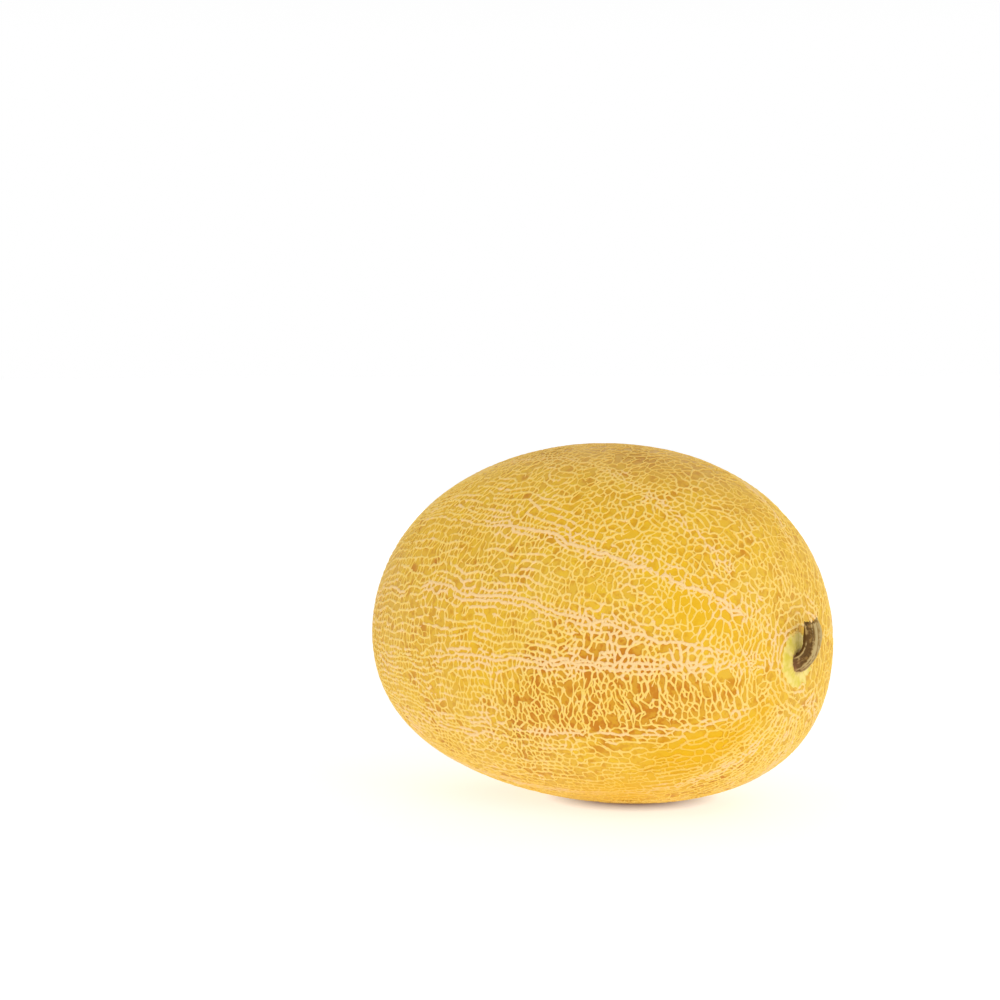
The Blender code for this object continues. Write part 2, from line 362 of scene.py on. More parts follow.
REGIONS = (
    Region(0.45, 26, 0.24, 10, Weave.POLYGONS, 3.0e-3, 0.06),
    Region(0.54, 4, 0.24, 8, Weave.WEB, 2.7e-3, 0.07),
    Region(0.86, 17, 0.10, 11, Weave.RUNGS, 2.7e-3, 0.05),
    Region(0.84, -14, 0.12, 10, Weave.RUNGS, 2.5e-3, 0.05),
    Region(0.52, -14, 0.20, 8, Weave.RUNGS, 1.8e-3, 0.05),
    Region(0.22, -13, 0.22, 8, Weave.RUNGS, 1.9e-3, 0.06),
    Region(0.955, 8, 0.022, 42, Weave.RUNGS, 2.9e-3, 0.08),
    Region(0.990, 0, 0.014, 400, Weave.RINGS, 3.0e-3, 0.40),
    Region(0.70, -36, 0.24, 9, Weave.LINES, 6.0e-3, 0.50),
    Region(0.90, -80, 0.14, 30, Weave.LADDERS, 2.2e-3, 0.15),
    Region(0.10, 82, 0.60, 22, Weave.FAINT, 2.6e-3, 0.20),
    Region(-0.50, 14, 0.45, 36, Weave.LADDERS, 2.7e-3, 0.26),
    Region(0.05, 22, 0.24, 26, Weave.LADDERS, 2.7e-3, 0.20),
    Region(-0.14, -35, 0.42, 13, Weave.WEB, 3.1e-3, 0.08),
    Region(0.25, -54, 0.40, 14, Weave.LINES, 3.4e-3, 0.30),
    Region(0.78, 50, 0.18, 16, Weave.POLYGONS, 3.1e-3, 0.08),
    Region(0.40, 54, 0.30, 12, Weave.POLYGONS, 3.0e-3, 0.10),
)


@dataclass
class Waves:
    """Smooth seeded unevenness over the skin: a sum of plane waves of about a size in space."""

    seed: int
    size: float
    count: int = 9

    def __call__(self, points: np.ndarray) -> np.ndarray:
        """The unevenness.

        Args:
            points: places in space.

        Returns:
            A value near -1 to 1 for each.
        """
        rng = np.random.default_rng(self.seed)
        aim = rng.normal(size=(self.count, 3))
        aim *= (TAU / self.size) * rng.uniform(0.6, 1.4, (self.count, 1)) / np.linalg.norm(
            aim, axis=1, keepdims=True)
        phase = rng.uniform(0, TAU, self.count)
        return np.sin(points @ aim.T + phase).sum(axis=-1) / math.sqrt(self.count)


BROAD, FINE = Waves(3, 0.080), Waves(5, 0.026)


@dataclass
class Rows:
    """The rows of cells that run along the fruit between the veins and bend with them.

    Row k lies above border k. A vein is a border of its own, with a narrow row on either side.
    """

    shape: MelonShape
    veins: list[Vein]
    row: float = 3.8e-3
    beside_vein: float = 2.3e-3
    uneven: float = 0.16
    seed: int = 7

    def __post_init__(self) -> None:
        """Spreads the borders between each vein and the next."""
        rng = np.random.default_rng(self.seed)
        self.veins = sorted(self.veins, key=lambda vein: vein.middle)
        degree = math.radians(self.shape.half_width)
        beside = self.beside_vein / degree
        borders, owner, vein_at, order = [], [], [], []
        for i, vein in enumerate(self.veins):
            gap = (self.veins[(i + 1) % len(self.veins)].middle - vein.middle) % 360
            count = max(1, round((gap - 2 * beside) * degree / self.row))
            inner = np.linspace(beside, gap - beside, count + 1)
            inner[1:-1] += (rng.uniform(-self.uneven, self.uneven, count - 1)
                            * self.row / degree)
            borders += [0.0, *inner]
            owner += [i] * (count + 2)
            vein_at += [i] + [-1] * (count + 1)
            order += [0, *range(1, count + 1), 0]
        self.vein_at = np.array(vein_at)
        self.owner = np.array(owner)
        self.order = np.array(order)
        offsets = np.array(borders)
        middles = np.array([vein.middle for vein in self.veins])
        gaps = (np.roll(middles, -1) - middles) % 360
        after = np.append(offsets[1:], gaps[-1])
        after = np.where(after == 0, gaps[self.owner], after)
        self.low_share = offsets / gaps[self.owner]
        self.high_share = after / gaps[self.owner]

    @property
    def count(self) -> int:
        """How many rows there are."""
        return len(self.order)

    def roll(self, row: np.ndarray, share: np.ndarray, s: np.ndarray) -> np.ndarray:
        """Where places in the rows lie.

        Args:
            row: their rows.
            share: how far up in the row each lies, from 0 at its low border to 1 at its high one.
            s: where they lie along the fruit.

        Returns:
            The roll of each.
        """
        curves = np.stack([vein.roll(s) for vein in self.veins])
        owner = self.owner[row]
        low = np.take_along_axis(curves, np.broadcast_to(owner, s.shape)[None], 0)[0]
        after = (owner + 1) % len(self.veins)
        high = np.take_along_axis(curves, np.broadcast_to(after, s.shape)[None], 0)[0]
        high = high + TAU * (after == 0)
        place = self.low_share[row] * (1 - share) + self.high_share[row] * share
        return low + place * (high - low)


@dataclass
class NetPlan:
    """The net's lines: where they run, how wide they are and which of them are missing.

    The cells stand in rows. A border between two rows is a line that runs along the fruit, and one
    between two cells of a row is a rung. Round the stalk and the scar the rows are rings. Widths
    are shares of a full ridge. A sway has its reach, its seed and its size, and the two numbers
    in drift and calm are for a row beside a vein and for any other row.
    """

    shape: MelonShape
    rows: Rows
    seed: int = 11
    smooth_rounds: int = 3
    smooth_share: float = 0.4
    bundle_reach: float = 4.2e-3
    disc_radius: float = 13.4e-3
    disc_rings: int = 6
    scar_radius: float = 6.2e-3
    scar_rings: int = 2
    ring_width: float = 2.8e-3
    ring_cell: float = 1.9
    ring_wobble: float = 0.11
    row_lead: float = 0.2
    bare_rim: float = 0.3e-3
    sways: tuple[tuple[float, int, float], ...] = ((1.1e-3, 41, 34e-3), (0.72e-3, 42, 14e-3))
    fork_lengths: tuple[float, float] = (5.5e-3, 8.0e-3)
    fork_limit: float = 1.75
    least_heights: tuple[float, float] = (0.60, 0.34)
    least_jitter: float = 0.10
    calm: tuple[float, float] = (0.7, 1.0)
    drift: tuple[float, float] = (0.04, 0.11)
    drift_lengths: tuple[float, float] = (1.7, 3.1)
    ground_share: float = 0.10
    row_gain: tuple[float, float] = (0.84, 1.16)
    line_gain: tuple[float, float] = (0.68, 1.22)
    vein_gain: tuple[float, float] = (0.75, 1.1)
    vein_fades: tuple[float, float] = (0.30, 0.10)
    bundle_pale: float = 0.30
    middle_width: float = 0.94
    loose_width: float = 0.45
    twig_width: float = 0.30
    twig_share: float = 0.45
    steps: int = 900

    def vein_distance(self, s: np.ndarray, roll: np.ndarray) -> np.ndarray:
        """How near the veins are.

        Args:
            s: places along the fruit.
            roll: places round it.

        Returns:
            The distance on the skin to the nearest vein, less for a wide one.
        """
        nearest = np.full(s.shape, 1.0)
        radius = self.shape.profile(s)[1]
        t = np.sin(s)
        for vein in self.rows.veins:
            turn = np.abs(wrapped(roll - vein.roll(s)))
            past = np.maximum(t - vein.reach, 0) + np.maximum(vein.start - t, 0)
            nearest = np.minimum(nearest, (turn * radius + past * 0.2) / vein.width)
        return nearest

    def style(self, s: np.ndarray, roll: np.ndarray) -> Arrays:
        """How the net looks.

        Args:
            s: places along the fruit.
            roll: places round it.

        Returns:
            The cells' raggedness, the widths of lines and rungs, the share of missing lines, the
            rows' height, the rungs' spacing, the share of missing rungs and the nearness of a
            vein, each for all the places.
        """
        t = np.sin(s)
        points = self.shape.skin(s, roll)
        broad, fine = BROAD(points), FINE(points)
        flat = np.ones(s.shape)
        ground = {
            "ragged": 0.20 + 0.05 * broad, "line": 0.84 + 0.10 * fine,
            "cross": 0.66 - 0.12 * broad, "slack": 0.10 * flat, "tall": flat,
            "rung": 2.9e-3 + 0.4e-3 * broad, "gaps": 0.18 * flat}
        total = self.ground_share * flat
        sums = {key: self.ground_share * value for key, value in ground.items()}
        for region in REGIONS:
            weight = region.weight(t, roll)
            total = total + weight
            values = (*region.weave.value, region.rung, region.gaps)
            for key, value in zip(sums, values):
                sums[key] = sums[key] + weight * value
        style = {key: value / total for key, value in sums.items()}
        bundle = np.exp(-(self.vein_distance(s, roll) / self.bundle_reach) ** 2)
        style["line"] = style["line"] * (1 + 0.10 * fine) + 0.14 * bundle
        style["cross"] = style["cross"] * (1 + 0.10 * fine) + 0.16 * bundle
        style["rung"] = style["rung"] * (1 + 0.16 * fine)
        style["gaps"] = style["gaps"] * (1 - 0.5 * bundle)
        style["slack"] = style["slack"] * (1 - 0.5 * bundle)
        style["bundle"] = bundle
        return style

    def row_seeds(self) -> tuple[np.ndarray, np.ndarray]:
        """Seeds of the cells in the rows.

        Returns:
            Their directions, and the number of each one's row.
        """
        rng = np.random.default_rng(self.seed)
        length = self.shape.table.length
        ends = (self.scar_radius + (self.scar_rings - self.row_lead) * self.ring_width,
                length[-1] - self.disc_radius
                - (self.disc_rings - self.row_lead) * self.ring_width)
        count = self.rows.count
        way = np.broadcast_to(np.linspace(*ends, self.steps), (count, self.steps))
        s = self.shape.s_at(way)
        row = np.arange(count)[:, None]
        low, high = (self.rows.roll(row, np.full(s.shape, side), s) for side in (0.0, 1.0))
        height = (high - low) * self.shape.profile(s)[1]
        style = self.style(s, (low + high) / 2)
        order = self.rows.order[:, None]
        odd, second = self.least_heights
        least = np.where(order % 2 == 1, odd, np.where(order % 4 == 2, second, 0.0))
        live = height > least * self.rows.row * style["tall"]
        phase = rng.uniform(0, TAU, (2, count, 1))
        fork = sum(np.sin(way / size + start) for size, start in zip(self.fork_lengths, phase))
        live &= (fork < self.fork_limit) | (order == 0)
        places, owners = [], []
        gap = way[0, 1] - way[0, 0]
        for k in range(count):
            filled = np.cumsum(gap / style["rung"][k])
            marks = np.arange(rng.uniform(0, 1), filled[-1], 1.0)
            jitter = (self.least_jitter + (1 - self.least_jitter)
                      * np.interp(marks, filled, style["ragged"][k]))
            marks = marks + rng.uniform(-1, 1, len(marks)) * jitter
            step = np.interp(marks, filled, np.arange(self.steps))
            near = np.clip(step.round().astype(int), 0, self.steps - 1)
            ok = live[k, near]
            near, step = near[ok], step[ok]
            at = np.interp(step, np.arange(self.steps), s[k])
            kind = min(self.rows.order[k], 1)
            ragged = style["ragged"][k, near] * self.calm[kind]
            share = 0.5 + rng.uniform(-1, 1, len(at)) * ragged
            own = sum(np.sin(marks[ok] / size + start[k])
                      for size, start in zip(self.drift_lengths, phase))
            share = share + self.drift[kind] * own
            roll = self.rows.roll(np.full(len(at), k), share, at)
            places.append(np.stack([at, roll]))
            owners.append(np.full(len(at), k))
        at, roll = np.concatenate(places, axis=1)
        return self.shape.direction(at, self._swayed(at, roll)), np.concatenate(owners)

    def _swayed(self, s: np.ndarray, roll: np.ndarray) -> np.ndarray:
        """Shifts places by a slow sway that all rows share, so that their lines are wavy.

        Args:
            s: places along the fruit.
            roll: places round it.

        Returns:
            The shifted rolls.
        """
        points = self.shape.skin(s, roll)
        sway = sum(far * Waves(seed, size)(points) for far, seed, size in self.sways)
        return roll + sway / np.maximum(self.shape.profile(s)[1], 0.02)

    def ring_seeds(self) -> tuple[np.ndarray, np.ndarray]:
        """Rings of seeds that draw arcs round the stalk's disc and the scar.

        Returns:
            Their directions, and the number of each one's ring, counted on from the rows.
        """
        rng = np.random.default_rng(self.seed + 1)
        rings, owners = [], []
        ring = self.rows.count
        for sign, radius, turns in ((-1, self.disc_radius, self.disc_rings),
                                    (1, self.scar_radius, self.scar_rings)):
            for turn in range(turns + 1):
                out = radius + (turn - 0.5) * self.ring_width
                count = max(9, int(TAU * out / (self.ring_cell * self.ring_width)))
                roll = TAU * (np.arange(count) + rng.uniform(-0.30, 0.30, count)) / count
                roll = roll + rng.uniform(0, 1)
                wobble = rng.normal(0, self.ring_wobble, count) * self.ring_width * (turn > 1)
                rings.append(self.shape.direction(self.shape.s_at(sign * (out + wobble)), roll))
                owners.append(np.full(count, ring))
                ring += 1
        return np.concatenate(rings), np.concatenate(owners)

    @staticmethod
    def hull(seeds: np.ndarray) -> tuple[np.ndarray, np.ndarray]:
        """Joins neighbouring seeds by triangles, which a convex hull on the unit sphere gives.

        Args:
            seeds: the seeds' directions.

        Returns:
            The triangles, and the direction of the net's corner over each.
        """
        work = bmesh.new()
        for seed in seeds:
            work.verts.new(seed)
        bmesh.ops.convex_hull(work, input=work.verts[:])
        bmesh.ops.triangulate(work, faces=work.faces[:])
        work.verts.index_update()
        triangles = np.array([[v.index for v in f.verts] for f in work.faces])
        work.free()
        a, b, c = (seeds[triangles[:, i]] for i in range(3))
        corners = unit(np.cross(b - a, c - a))
        return triangles, corners * np.sign((corners * a).sum(axis=1, keepdims=True))

    def lines(self) -> Arrays:
        """The net as a graph of points and edges.

        Returns:
            The points with their normals, widths, paleness, painted tan shade, gold and roll, and
            the edges between them.
        """
        row_seeds, row_owners = self.row_seeds()
        ring_seeds, ring_owners = self.ring_seeds()
        seeds = np.concatenate([row_seeds, ring_seeds])
        owner = np.concatenate([row_owners, ring_owners])
        triangles, corners = self.hull(seeds)
        pairs = np.sort(triangles[:, [[0, 1], [1, 2], [2, 0]]].reshape(-1, 2), axis=1)
        face = np.repeat(np.arange(len(triangles)), 3)
        order = np.lexsort((pairs[:, 1], pairs[:, 0]))
        cells, ends = pairs[order][::2], face[order].reshape(-1, 2)
        LOG.info("net: %d cells, %d borders", len(seeds), len(ends))
        return self._drawn(corners, ends, owner[cells])

    def _vein_width(self, sides: np.ndarray, t: np.ndarray) -> np.ndarray:
        """Finds the borders that a vein runs on.

        Args:
            sides: the rows on the two sides of each border.
            t: where each border lies along the fruit.

        Returns:
            The vein's width on each, or 0.
        """
        low, high = sides.min(axis=1), sides.max(axis=1)
        rows = self.rows.count
        border = np.where((low == 0) & (high == rows - 1), 0, high)
        next_to = ((high - low == 1) | (border == 0)) & (high < rows)
        which = np.where(next_to, self.rows.vein_at[np.minimum(border, rows - 1)], -1)
        width, start, reach = (np.array([getattr(vein, key) for vein in self.rows.veins])
                               for key in ("width", "start", "reach"))
        at_start, at_end = self.vein_fades
        fade = (np.clip((reach[which] - t) / at_end, 0, 1)
                * np.clip((t - start[which]) / at_start, 0, 1))
        return np.where(which >= 0, width[which] * np.sqrt(fade), 0.0)

    def _drawn(self, corners: np.ndarray, ends: np.ndarray, sides: np.ndarray) -> Arrays:
        """Gives each border its width, drops the missing ones and smooths what is left.

        Args:
            corners: the directions of the net's corners.
            ends: the two corners of each border.
            sides: the rows on its two sides.

        Returns:
            The graph, as lines() gives it.
        """
        rng = np.random.default_rng(self.seed + 3)
        s, roll = self.shape.place(unit(corners[ends].mean(axis=1)))
        style = self.style(s, roll)
        line = sides[:, 0] != sides[:, 1]
        vein = self._vein_width(sides, np.sin(s))
        gain = rng.uniform(*self.row_gain, sides.max() + 1)[sides.min(axis=1)]
        width = np.where(line, style["line"] * gain, style["cross"])
        width = np.maximum(width * rng.uniform(*self.line_gain, len(ends)),
                           vein * rng.uniform(*self.vein_gain, len(ends)))
        missing = np.where(line, style["slack"] * (vein == 0), style["gaps"])
        keep = rng.uniform(size=len(ends)) > missing
        length = self.shape.table.length
        far_way = np.interp(s, self.shape.table.s, length)
        keep &= length[-1] - far_way > self.disc_radius - self.bare_rim
        keep &= far_way > self.scar_radius - self.bare_rim
        pale = width + self.bundle_pale * style["bundle"]
        smooth = self._smoothed(corners, ends[keep], width[keep])
        return self._graph(smooth, ends, width, pale, keep, rng)

    def _smoothed(self, corners: np.ndarray, ends: np.ndarray, width: np.ndarray) -> np.ndarray:
        """Draws corners towards their neighbours along wide lines, which then run smoothly.

        Args:
            corners: the directions of the net's corners.
            ends: the two corners of each line.
            width: each line's width.

        Returns:
            The corners' new directions.
        """
        for _ in range(self.smooth_rounds):
            pull = np.zeros_like(corners)
            total = np.zeros(len(corners))
            for a, b in ((0, 1), (1, 0)):
                np.add.at(pull, ends[:, a], corners[ends[:, b]] * width[:, None] ** 3)
                np.add.at(total, ends[:, a], width ** 3)
            live = total > 0
            goal = corners.copy()
            goal[live] = pull[live] / total[live, None]
            corners = unit((1 - self.smooth_share) * corners + self.smooth_share * goal)
        return corners

    def _graph(self, corners: np.ndarray, ends: np.ndarray, width: np.ndarray, pale: np.ndarray,
               keep: np.ndarray, rng: np.random.Generator) -> Arrays:
        """Draws two edges for each border that is kept, and a twig where one is broken off.

        Args:
            corners: the directions of the net's corners.
            ends: the two corners of each border.
            width: each border's width.
            pale: how pale each is.
            keep: which of them are kept.
            rng: where the twigs are drawn from.

        Returns:
            The graph, as lines() gives it.
        """
        count = len(corners)
        twig = ~keep & (rng.uniform(size=len(ends)) < self.twig_share)
        whole = np.flatnonzero(keep)
        broken = np.flatnonzero(twig)
        middles = unit(corners[ends[np.concatenate([whole, broken])]].mean(axis=1))
        places = np.concatenate([corners, middles])
        first = count + np.arange(len(whole))
        tips = count + len(whole) + np.arange(len(broken))
        roots = ends[broken, rng.integers(0, 2, len(broken))]
        touch, wide, tone = (np.zeros(count) for _ in range(3))
        for i in (0, 1):
            np.add.at(touch, ends[whole, i], 1)
            np.add.at(wide, ends[whole, i], width[whole] ** 2)
            np.maximum.at(tone, ends[whole, i], pale[whole])
        at_corner = np.sqrt(wide / np.maximum(touch, 1))
        at_corner = np.where(touch == 1, self.loose_width * at_corner, at_corner)
        rooted = touch[roots] > 0
        s, roll = self.shape.place(places)
        return {
            "points": self.shape.skin(s, roll),
            "normals": self.shape.axes(s, roll)[2],
            "width": np.concatenate([at_corner, self.middle_width * width[whole],
                                     self.twig_width * width[broken]]),
            "pale": np.concatenate([tone, pale[whole], pale[broken]]),
            "shaded_tan": patched(TAN_SHADE_PATCHES, np.sin(s), roll),
            "golden": patched(GOLDEN, np.sin(s), roll),
            "roll": roll,
            "edges": np.concatenate([
                np.stack([ends[whole, 0], first], axis=1),
                np.stack([first, ends[whole, 1]], axis=1),
                np.stack([roots, tips], axis=1)[rooted]]),
        }


# Node trees

class Graph:
    """A node tree under construction."""

    def __init__(self, tree: bpy.types.NodeTree) -> None:
        """Takes the tree."""
        self.tree = tree

    def add(self, kind: str, settings: dict[str, object] | None = None,
            sockets: dict[str | int, Feed] | None = None) -> bpy.types.Node:
        """Adds a node.

        Args:
            kind: the node's type.
            settings: its properties, set first.
            sockets: its inputs by name or number, each with a value, a socket or a Value.

        Returns:
            The node.
        """
        node = self.tree.nodes.new(kind)
        for name, value in (settings or {}).items():
            setattr(node, name, value)
        for name, value in (sockets or {}).items():
            self.feed(node.inputs[name], value)
        return node

    def feed(self, socket: bpy.types.NodeSocket, value: Feed) -> None:
        """Gives a socket a link or a value.

        Args:
            socket: a node's input.
            value: what it takes.
        """
        if isinstance(value, Value):
            value = value.socket
        if isinstance(value, bpy.types.NodeSocket):
            self.tree.links.new(value, socket)
        else:
            socket.default_value = value


class NetTree(Graph):
    """A Geometry Nodes tree that turns the net's lines into raised cork ridges.

    The lines wander a little along the skin, then a low flat-topped section is swept along them.
    Where a line is wider than a full ridge it is lowered, so that it doesn't stand too high.
    """

    WIDTH, HEIGHT, SHOULDER = "Ridge Width", "Ridge Height", "Top Share"
    WANDER, WANDER_SIZE, SINK, JOIN = "Wander", "Wander Size", "Sink", "Join Distance"
    WIDE_DROP = -0.75

    def __init__(self, material: bpy.types.Material) -> None:
        """Builds the tree.

        Args:
            material: what the ridges are made of.
        """
        super().__init__(bpy.data.node_groups.new("raise_net", "GeometryNodeTree"))
        self.sockets: dict[str, str] = {}
        self._interface()
        self._build(material)

    def _interface(self) -> None:
        """Names the tree's inputs."""
        face = self.tree.interface
        face.new_socket("Geometry", in_out="INPUT", socket_type="NodeSocketGeometry")
        for name in (self.WIDTH, self.HEIGHT, self.SHOULDER, self.WANDER, self.WANDER_SIZE,
                     self.SINK, self.JOIN):
            made = face.new_socket(name, in_out="INPUT", socket_type="NodeSocketFloat")
            self.sockets[name] = made.identifier
        face.new_socket("Geometry", in_out="OUTPUT", socket_type="NodeSocketGeometry")

    def _attribute(self, name: str, data_type: str) -> bpy.types.NodeSocket:
        """The value of a named attribute of the lines."""
        return self.add("GeometryNodeInputNamedAttribute", {"data_type": data_type},
                        {"Name": name}).outputs["Attribute"]

    def _vector(self, operation: str, *values: Feed) -> bpy.types.NodeSocket:
        """A Vector Math node.

        Args:
            operation: what it does.
            values: its two inputs.

        Returns:
            Its result's socket.
        """
        second = "Scale" if operation == "SCALE" else 1
        node = self.add("ShaderNodeVectorMath", {"operation": operation},
                        dict(zip((0, second), values)))
        return node.outputs["Value" if operation == "DOT_PRODUCT" else "Vector"]

    def _math(self, operation: str, *values: Feed) -> bpy.types.NodeSocket:
        """A Math node."""
        return self.add("ShaderNodeMath", {"operation": operation},
                        dict(enumerate(values))).outputs[0]

    def _build(self, material: bpy.types.Material) -> None:
        """Wires the tree.

        Args:
            material: what the ridges are made of.
        """
        entry = self.add("NodeGroupInput")
        value = {name: entry.outputs[name] for name in self.sockets}
        out = self._attribute("skin_normal", "FLOAT_VECTOR")
        width = self._attribute("width", "FLOAT")
        place = self.add("GeometryNodeInputPosition").outputs[0]
        frequency = self._math("DIVIDE", 1.0, value[self.WANDER_SIZE])
        noise = self.add("ShaderNodeTexNoise", {},
                         {"Vector": place, "Scale": frequency, "Detail": 1.0})
        drift = self._vector("SUBTRACT", noise.outputs["Color"], (0.5, 0.5, 0.5))
        up = self._vector("SCALE", out, self._vector("DOT_PRODUCT", drift, out))
        flat = self._vector("SUBTRACT", drift, up)
        wide = self._math("MAXIMUM", self._math("SUBTRACT", width, 1.0), 0.0)
        lower = self._math("MULTIPLY", self._math("MULTIPLY", wide, value[self.HEIGHT]),
                           self.WIDE_DROP)
        offset = self._vector("ADD", self._vector("SCALE", flat, value[self.WANDER]),
                              self._vector("SCALE", out, lower))
        moved = self.add("GeometryNodeSetPosition", {},
                         {"Geometry": entry.outputs["Geometry"], "Offset": offset})
        joined = self.add("GeometryNodeMergeByDistance", {"mode": "CONNECTED"},
                          {"Geometry": moved.outputs[0], "Distance": value[self.JOIN]})
        curve = self.add("GeometryNodeMeshToCurve", {}, {"Mesh": joined.outputs[0]})
        upright = self.add("GeometryNodeSetCurveNormal", {"mode": "FREE"},
                           {"Curve": curve.outputs[0], "Normal": out})
        swept = self.add("GeometryNodeCurveToMesh", {},
                         {"Curve": upright.outputs[0], "Profile Curve": self._section(value),
                          "Scale": width, "Fill Caps": True})
        smooth = self.add("GeometryNodeSetShadeSmooth", {}, {"Geometry": swept.outputs[0]})
        real = self.add("GeometryNodeRealizeInstances", {}, {"Geometry": smooth.outputs[0]})
        dressed = self.add("GeometryNodeSetMaterial", {},
                           {"Geometry": real.outputs[0], "Material": material})
        self.add("NodeGroupOutput", {}, {"Geometry": dressed.outputs[0]})

    def _section(self, value: dict[str, bpy.types.NodeSocket]) -> bpy.types.NodeSocket:
        """The ridge's section: a trapezium whose foot is sunk below the skin.

        It is turned on its side, as a curve's normal is its x axis.

        Args:
            value: the tree's inputs by name.

        Returns:
            The socket of the section's curve.
        """
        tall = self._math("ADD", value[self.HEIGHT], value[self.SINK])
        top = self._math("MULTIPLY", value[self.WIDTH], value[self.SHOULDER])
        shape = self.add("GeometryNodeCurvePrimitiveQuadrilateral", {"mode": "TRAPEZOID"},
                         {"Height": tall, "Bottom Width": value[self.WIDTH], "Top Width": top,
                          "Offset": 0.0})
        rise = self._math("SUBTRACT", self._math("MULTIPLY", tall, 0.5), value[self.SINK])
        where = self.add("ShaderNodeCombineXYZ", {}, {"X": rise})
        return self.add("GeometryNodeTransform", {},
                        {"Geometry": shape.outputs[0], "Translation": where.outputs[0],
                         "Rotation": (0.0, 0.0, -math.pi / 2)}).outputs[0]

    def grown(self, name: str, mesh: bpy.types.Mesh, sizes: dict[str, float]) -> bpy.types.Object:
        """Runs the tree on a mesh of lines.

        Args:
            name: the finished piece's name.
            mesh: the lines, with their attributes.
            sizes: the tree's named inputs.

        Returns:
            An object with the ridges as a plain mesh.
        """
        guide = bpy.data.objects.new(name + "_lines", mesh)
        bpy.context.scene.collection.objects.link(guide)
        modifier = guide.modifiers.new("raise_net", "NODES")
        modifier.node_group = self.tree
        for size, amount in sizes.items():
            modifier[self.sockets[size]] = amount
        graph = bpy.context.evaluated_depsgraph_get()
        grown = bpy.data.meshes.new_from_object(guide.evaluated_get(graph))
        bpy.data.objects.remove(guide)
        piece = bpy.data.objects.new(name, grown)
        bpy.context.scene.collection.objects.link(piece)
        return piece


# Shader maths

class Value:
    """A shader socket that takes part in Python arithmetic, one Math node to each step."""

    def __init__(self, graph: Graph, socket: bpy.types.NodeSocket) -> None:
        """Wraps a socket of a graph."""
        self.graph = graph
        self.socket = socket

    def _with(self, operation: str, first: Value | float, second: Value | float) -> Value:
        """A Math node on two values."""
        node = self.graph.add("ShaderNodeMath", {"operation": operation}, {0: first, 1: second})
        return Value(self.graph, node.outputs[0])

    def __add__(self, other: Value | float) -> Value:
        """Sum."""
        return self._with("ADD", self, other)

    def __radd__(self, other: float) -> Value:
        """Sum, from the right."""
        return self._with("ADD", other, self)

    def __sub__(self, other: Value | float) -> Value:
        """Difference."""
        return self._with("SUBTRACT", self, other)

    def __rsub__(self, other: float) -> Value:
        """Difference, from the right."""
        return self._with("SUBTRACT", other, self)

    def __mul__(self, other: Value | float) -> Value:
        """Product."""
        return self._with("MULTIPLY", self, other)

    def __rmul__(self, other: float) -> Value:
        """Product, from the right."""
        return self._with("MULTIPLY", other, self)

    def clamped(self) -> Value:
        """The value held between 0 and 1, with soft ends."""
        return self.between(0.0, 1.0)

    def between(self, low: float, high: float) -> Value:
        """A smooth step.

        Args:
            low: the value that becomes 0.
            high: the value that becomes 1.

        Returns:
            The stepped value.
        """
        node = self.graph.add(
            "ShaderNodeMapRange", {"interpolation_type": "SMOOTHSTEP"},
            {"Value": self, "From Min": low, "From Max": high})
        return Value(self.graph, node.outputs["Result"])


class Surface(Graph):
    """A material under construction, with a Principled shader at its end."""

    MIX_FIRST, MIX_SECOND, MIX_COLOUR = 6, 7, 2

    def __init__(self, name: str) -> None:
        """Starts a material.

        Args:
            name: the material's name.
        """
        self.material = bpy.data.materials.new(name)
        self.material.use_nodes = True
        super().__init__(self.material.node_tree)
        self.shader = self.tree.nodes["Principled BSDF"]
        self.place = self.add("ShaderNodeTexCoord").outputs["Object"]

    def noise(self, size: float, detail: float = 2.0, roughness: float = 0.5,
              shift: float = 0.0) -> Value:
        """Noise on the piece's own coordinates.

        Args:
            size: the size of its features in metres.
            detail: how many finer layers it has.
            roughness: how strong the finer layers are.
            shift: how far it is moved, so that two noises of a material differ.

        Returns:
            The noise, about 0.5 on average.
        """
        mapped = self.add("ShaderNodeMapping", {"vector_type": "POINT"},
                          {"Vector": self.place, "Location": (shift,) * 3})
        node = self.add("ShaderNodeTexNoise", {},
                        {"Vector": mapped.outputs[0], "Scale": 1 / size, "Detail": detail,
                         "Roughness": roughness})
        return Value(self, node.outputs["Fac"])

    def attribute(self, name: str) -> Value:
        """A number kept on the piece's points."""
        node = self.add("ShaderNodeAttribute", {"attribute_name": name})
        return Value(self, node.outputs["Fac"])

    def mix(self, share: Feed, first: Feed, second: Feed) -> bpy.types.NodeSocket:
        """A colour between two colours.

        Args:
            share: how much there is of the second colour.
            first: the first colour.
            second: the second colour.

        Returns:
            The mixed colour's socket.
        """
        node = self.add("ShaderNodeMix", {"data_type": "RGBA"},
                        {"Factor": share, self.MIX_FIRST: first, self.MIX_SECOND: second})
        return node.outputs[self.MIX_COLOUR]

    def bump(self, height: Value, depth: float) -> None:
        """Feeds the shader's normal with a bump of a depth in metres."""
        node = self.add("ShaderNodeBump", {}, {"Height": height, "Distance": depth,
                                               "Strength": 1.0})
        self.feed(self.shader.inputs["Normal"], node.outputs[0])

    def finish(self, colour: Feed, roughness: Feed, **constants: float) -> bpy.types.Material:
        """Sets the shader's inputs.

        Args:
            colour: the base colour.
            roughness: the roughness.
            constants: other inputs of the shader, with _ for a space, that are the same all over.

        Returns:
            The material.
        """
        self.feed(self.shader.inputs["Base Color"], colour)
        self.feed(self.shader.inputs["Roughness"], roughness)
        for name, value in constants.items():
            self.feed(self.shader.inputs[name.replace("_", " ")], value)
        return self.material


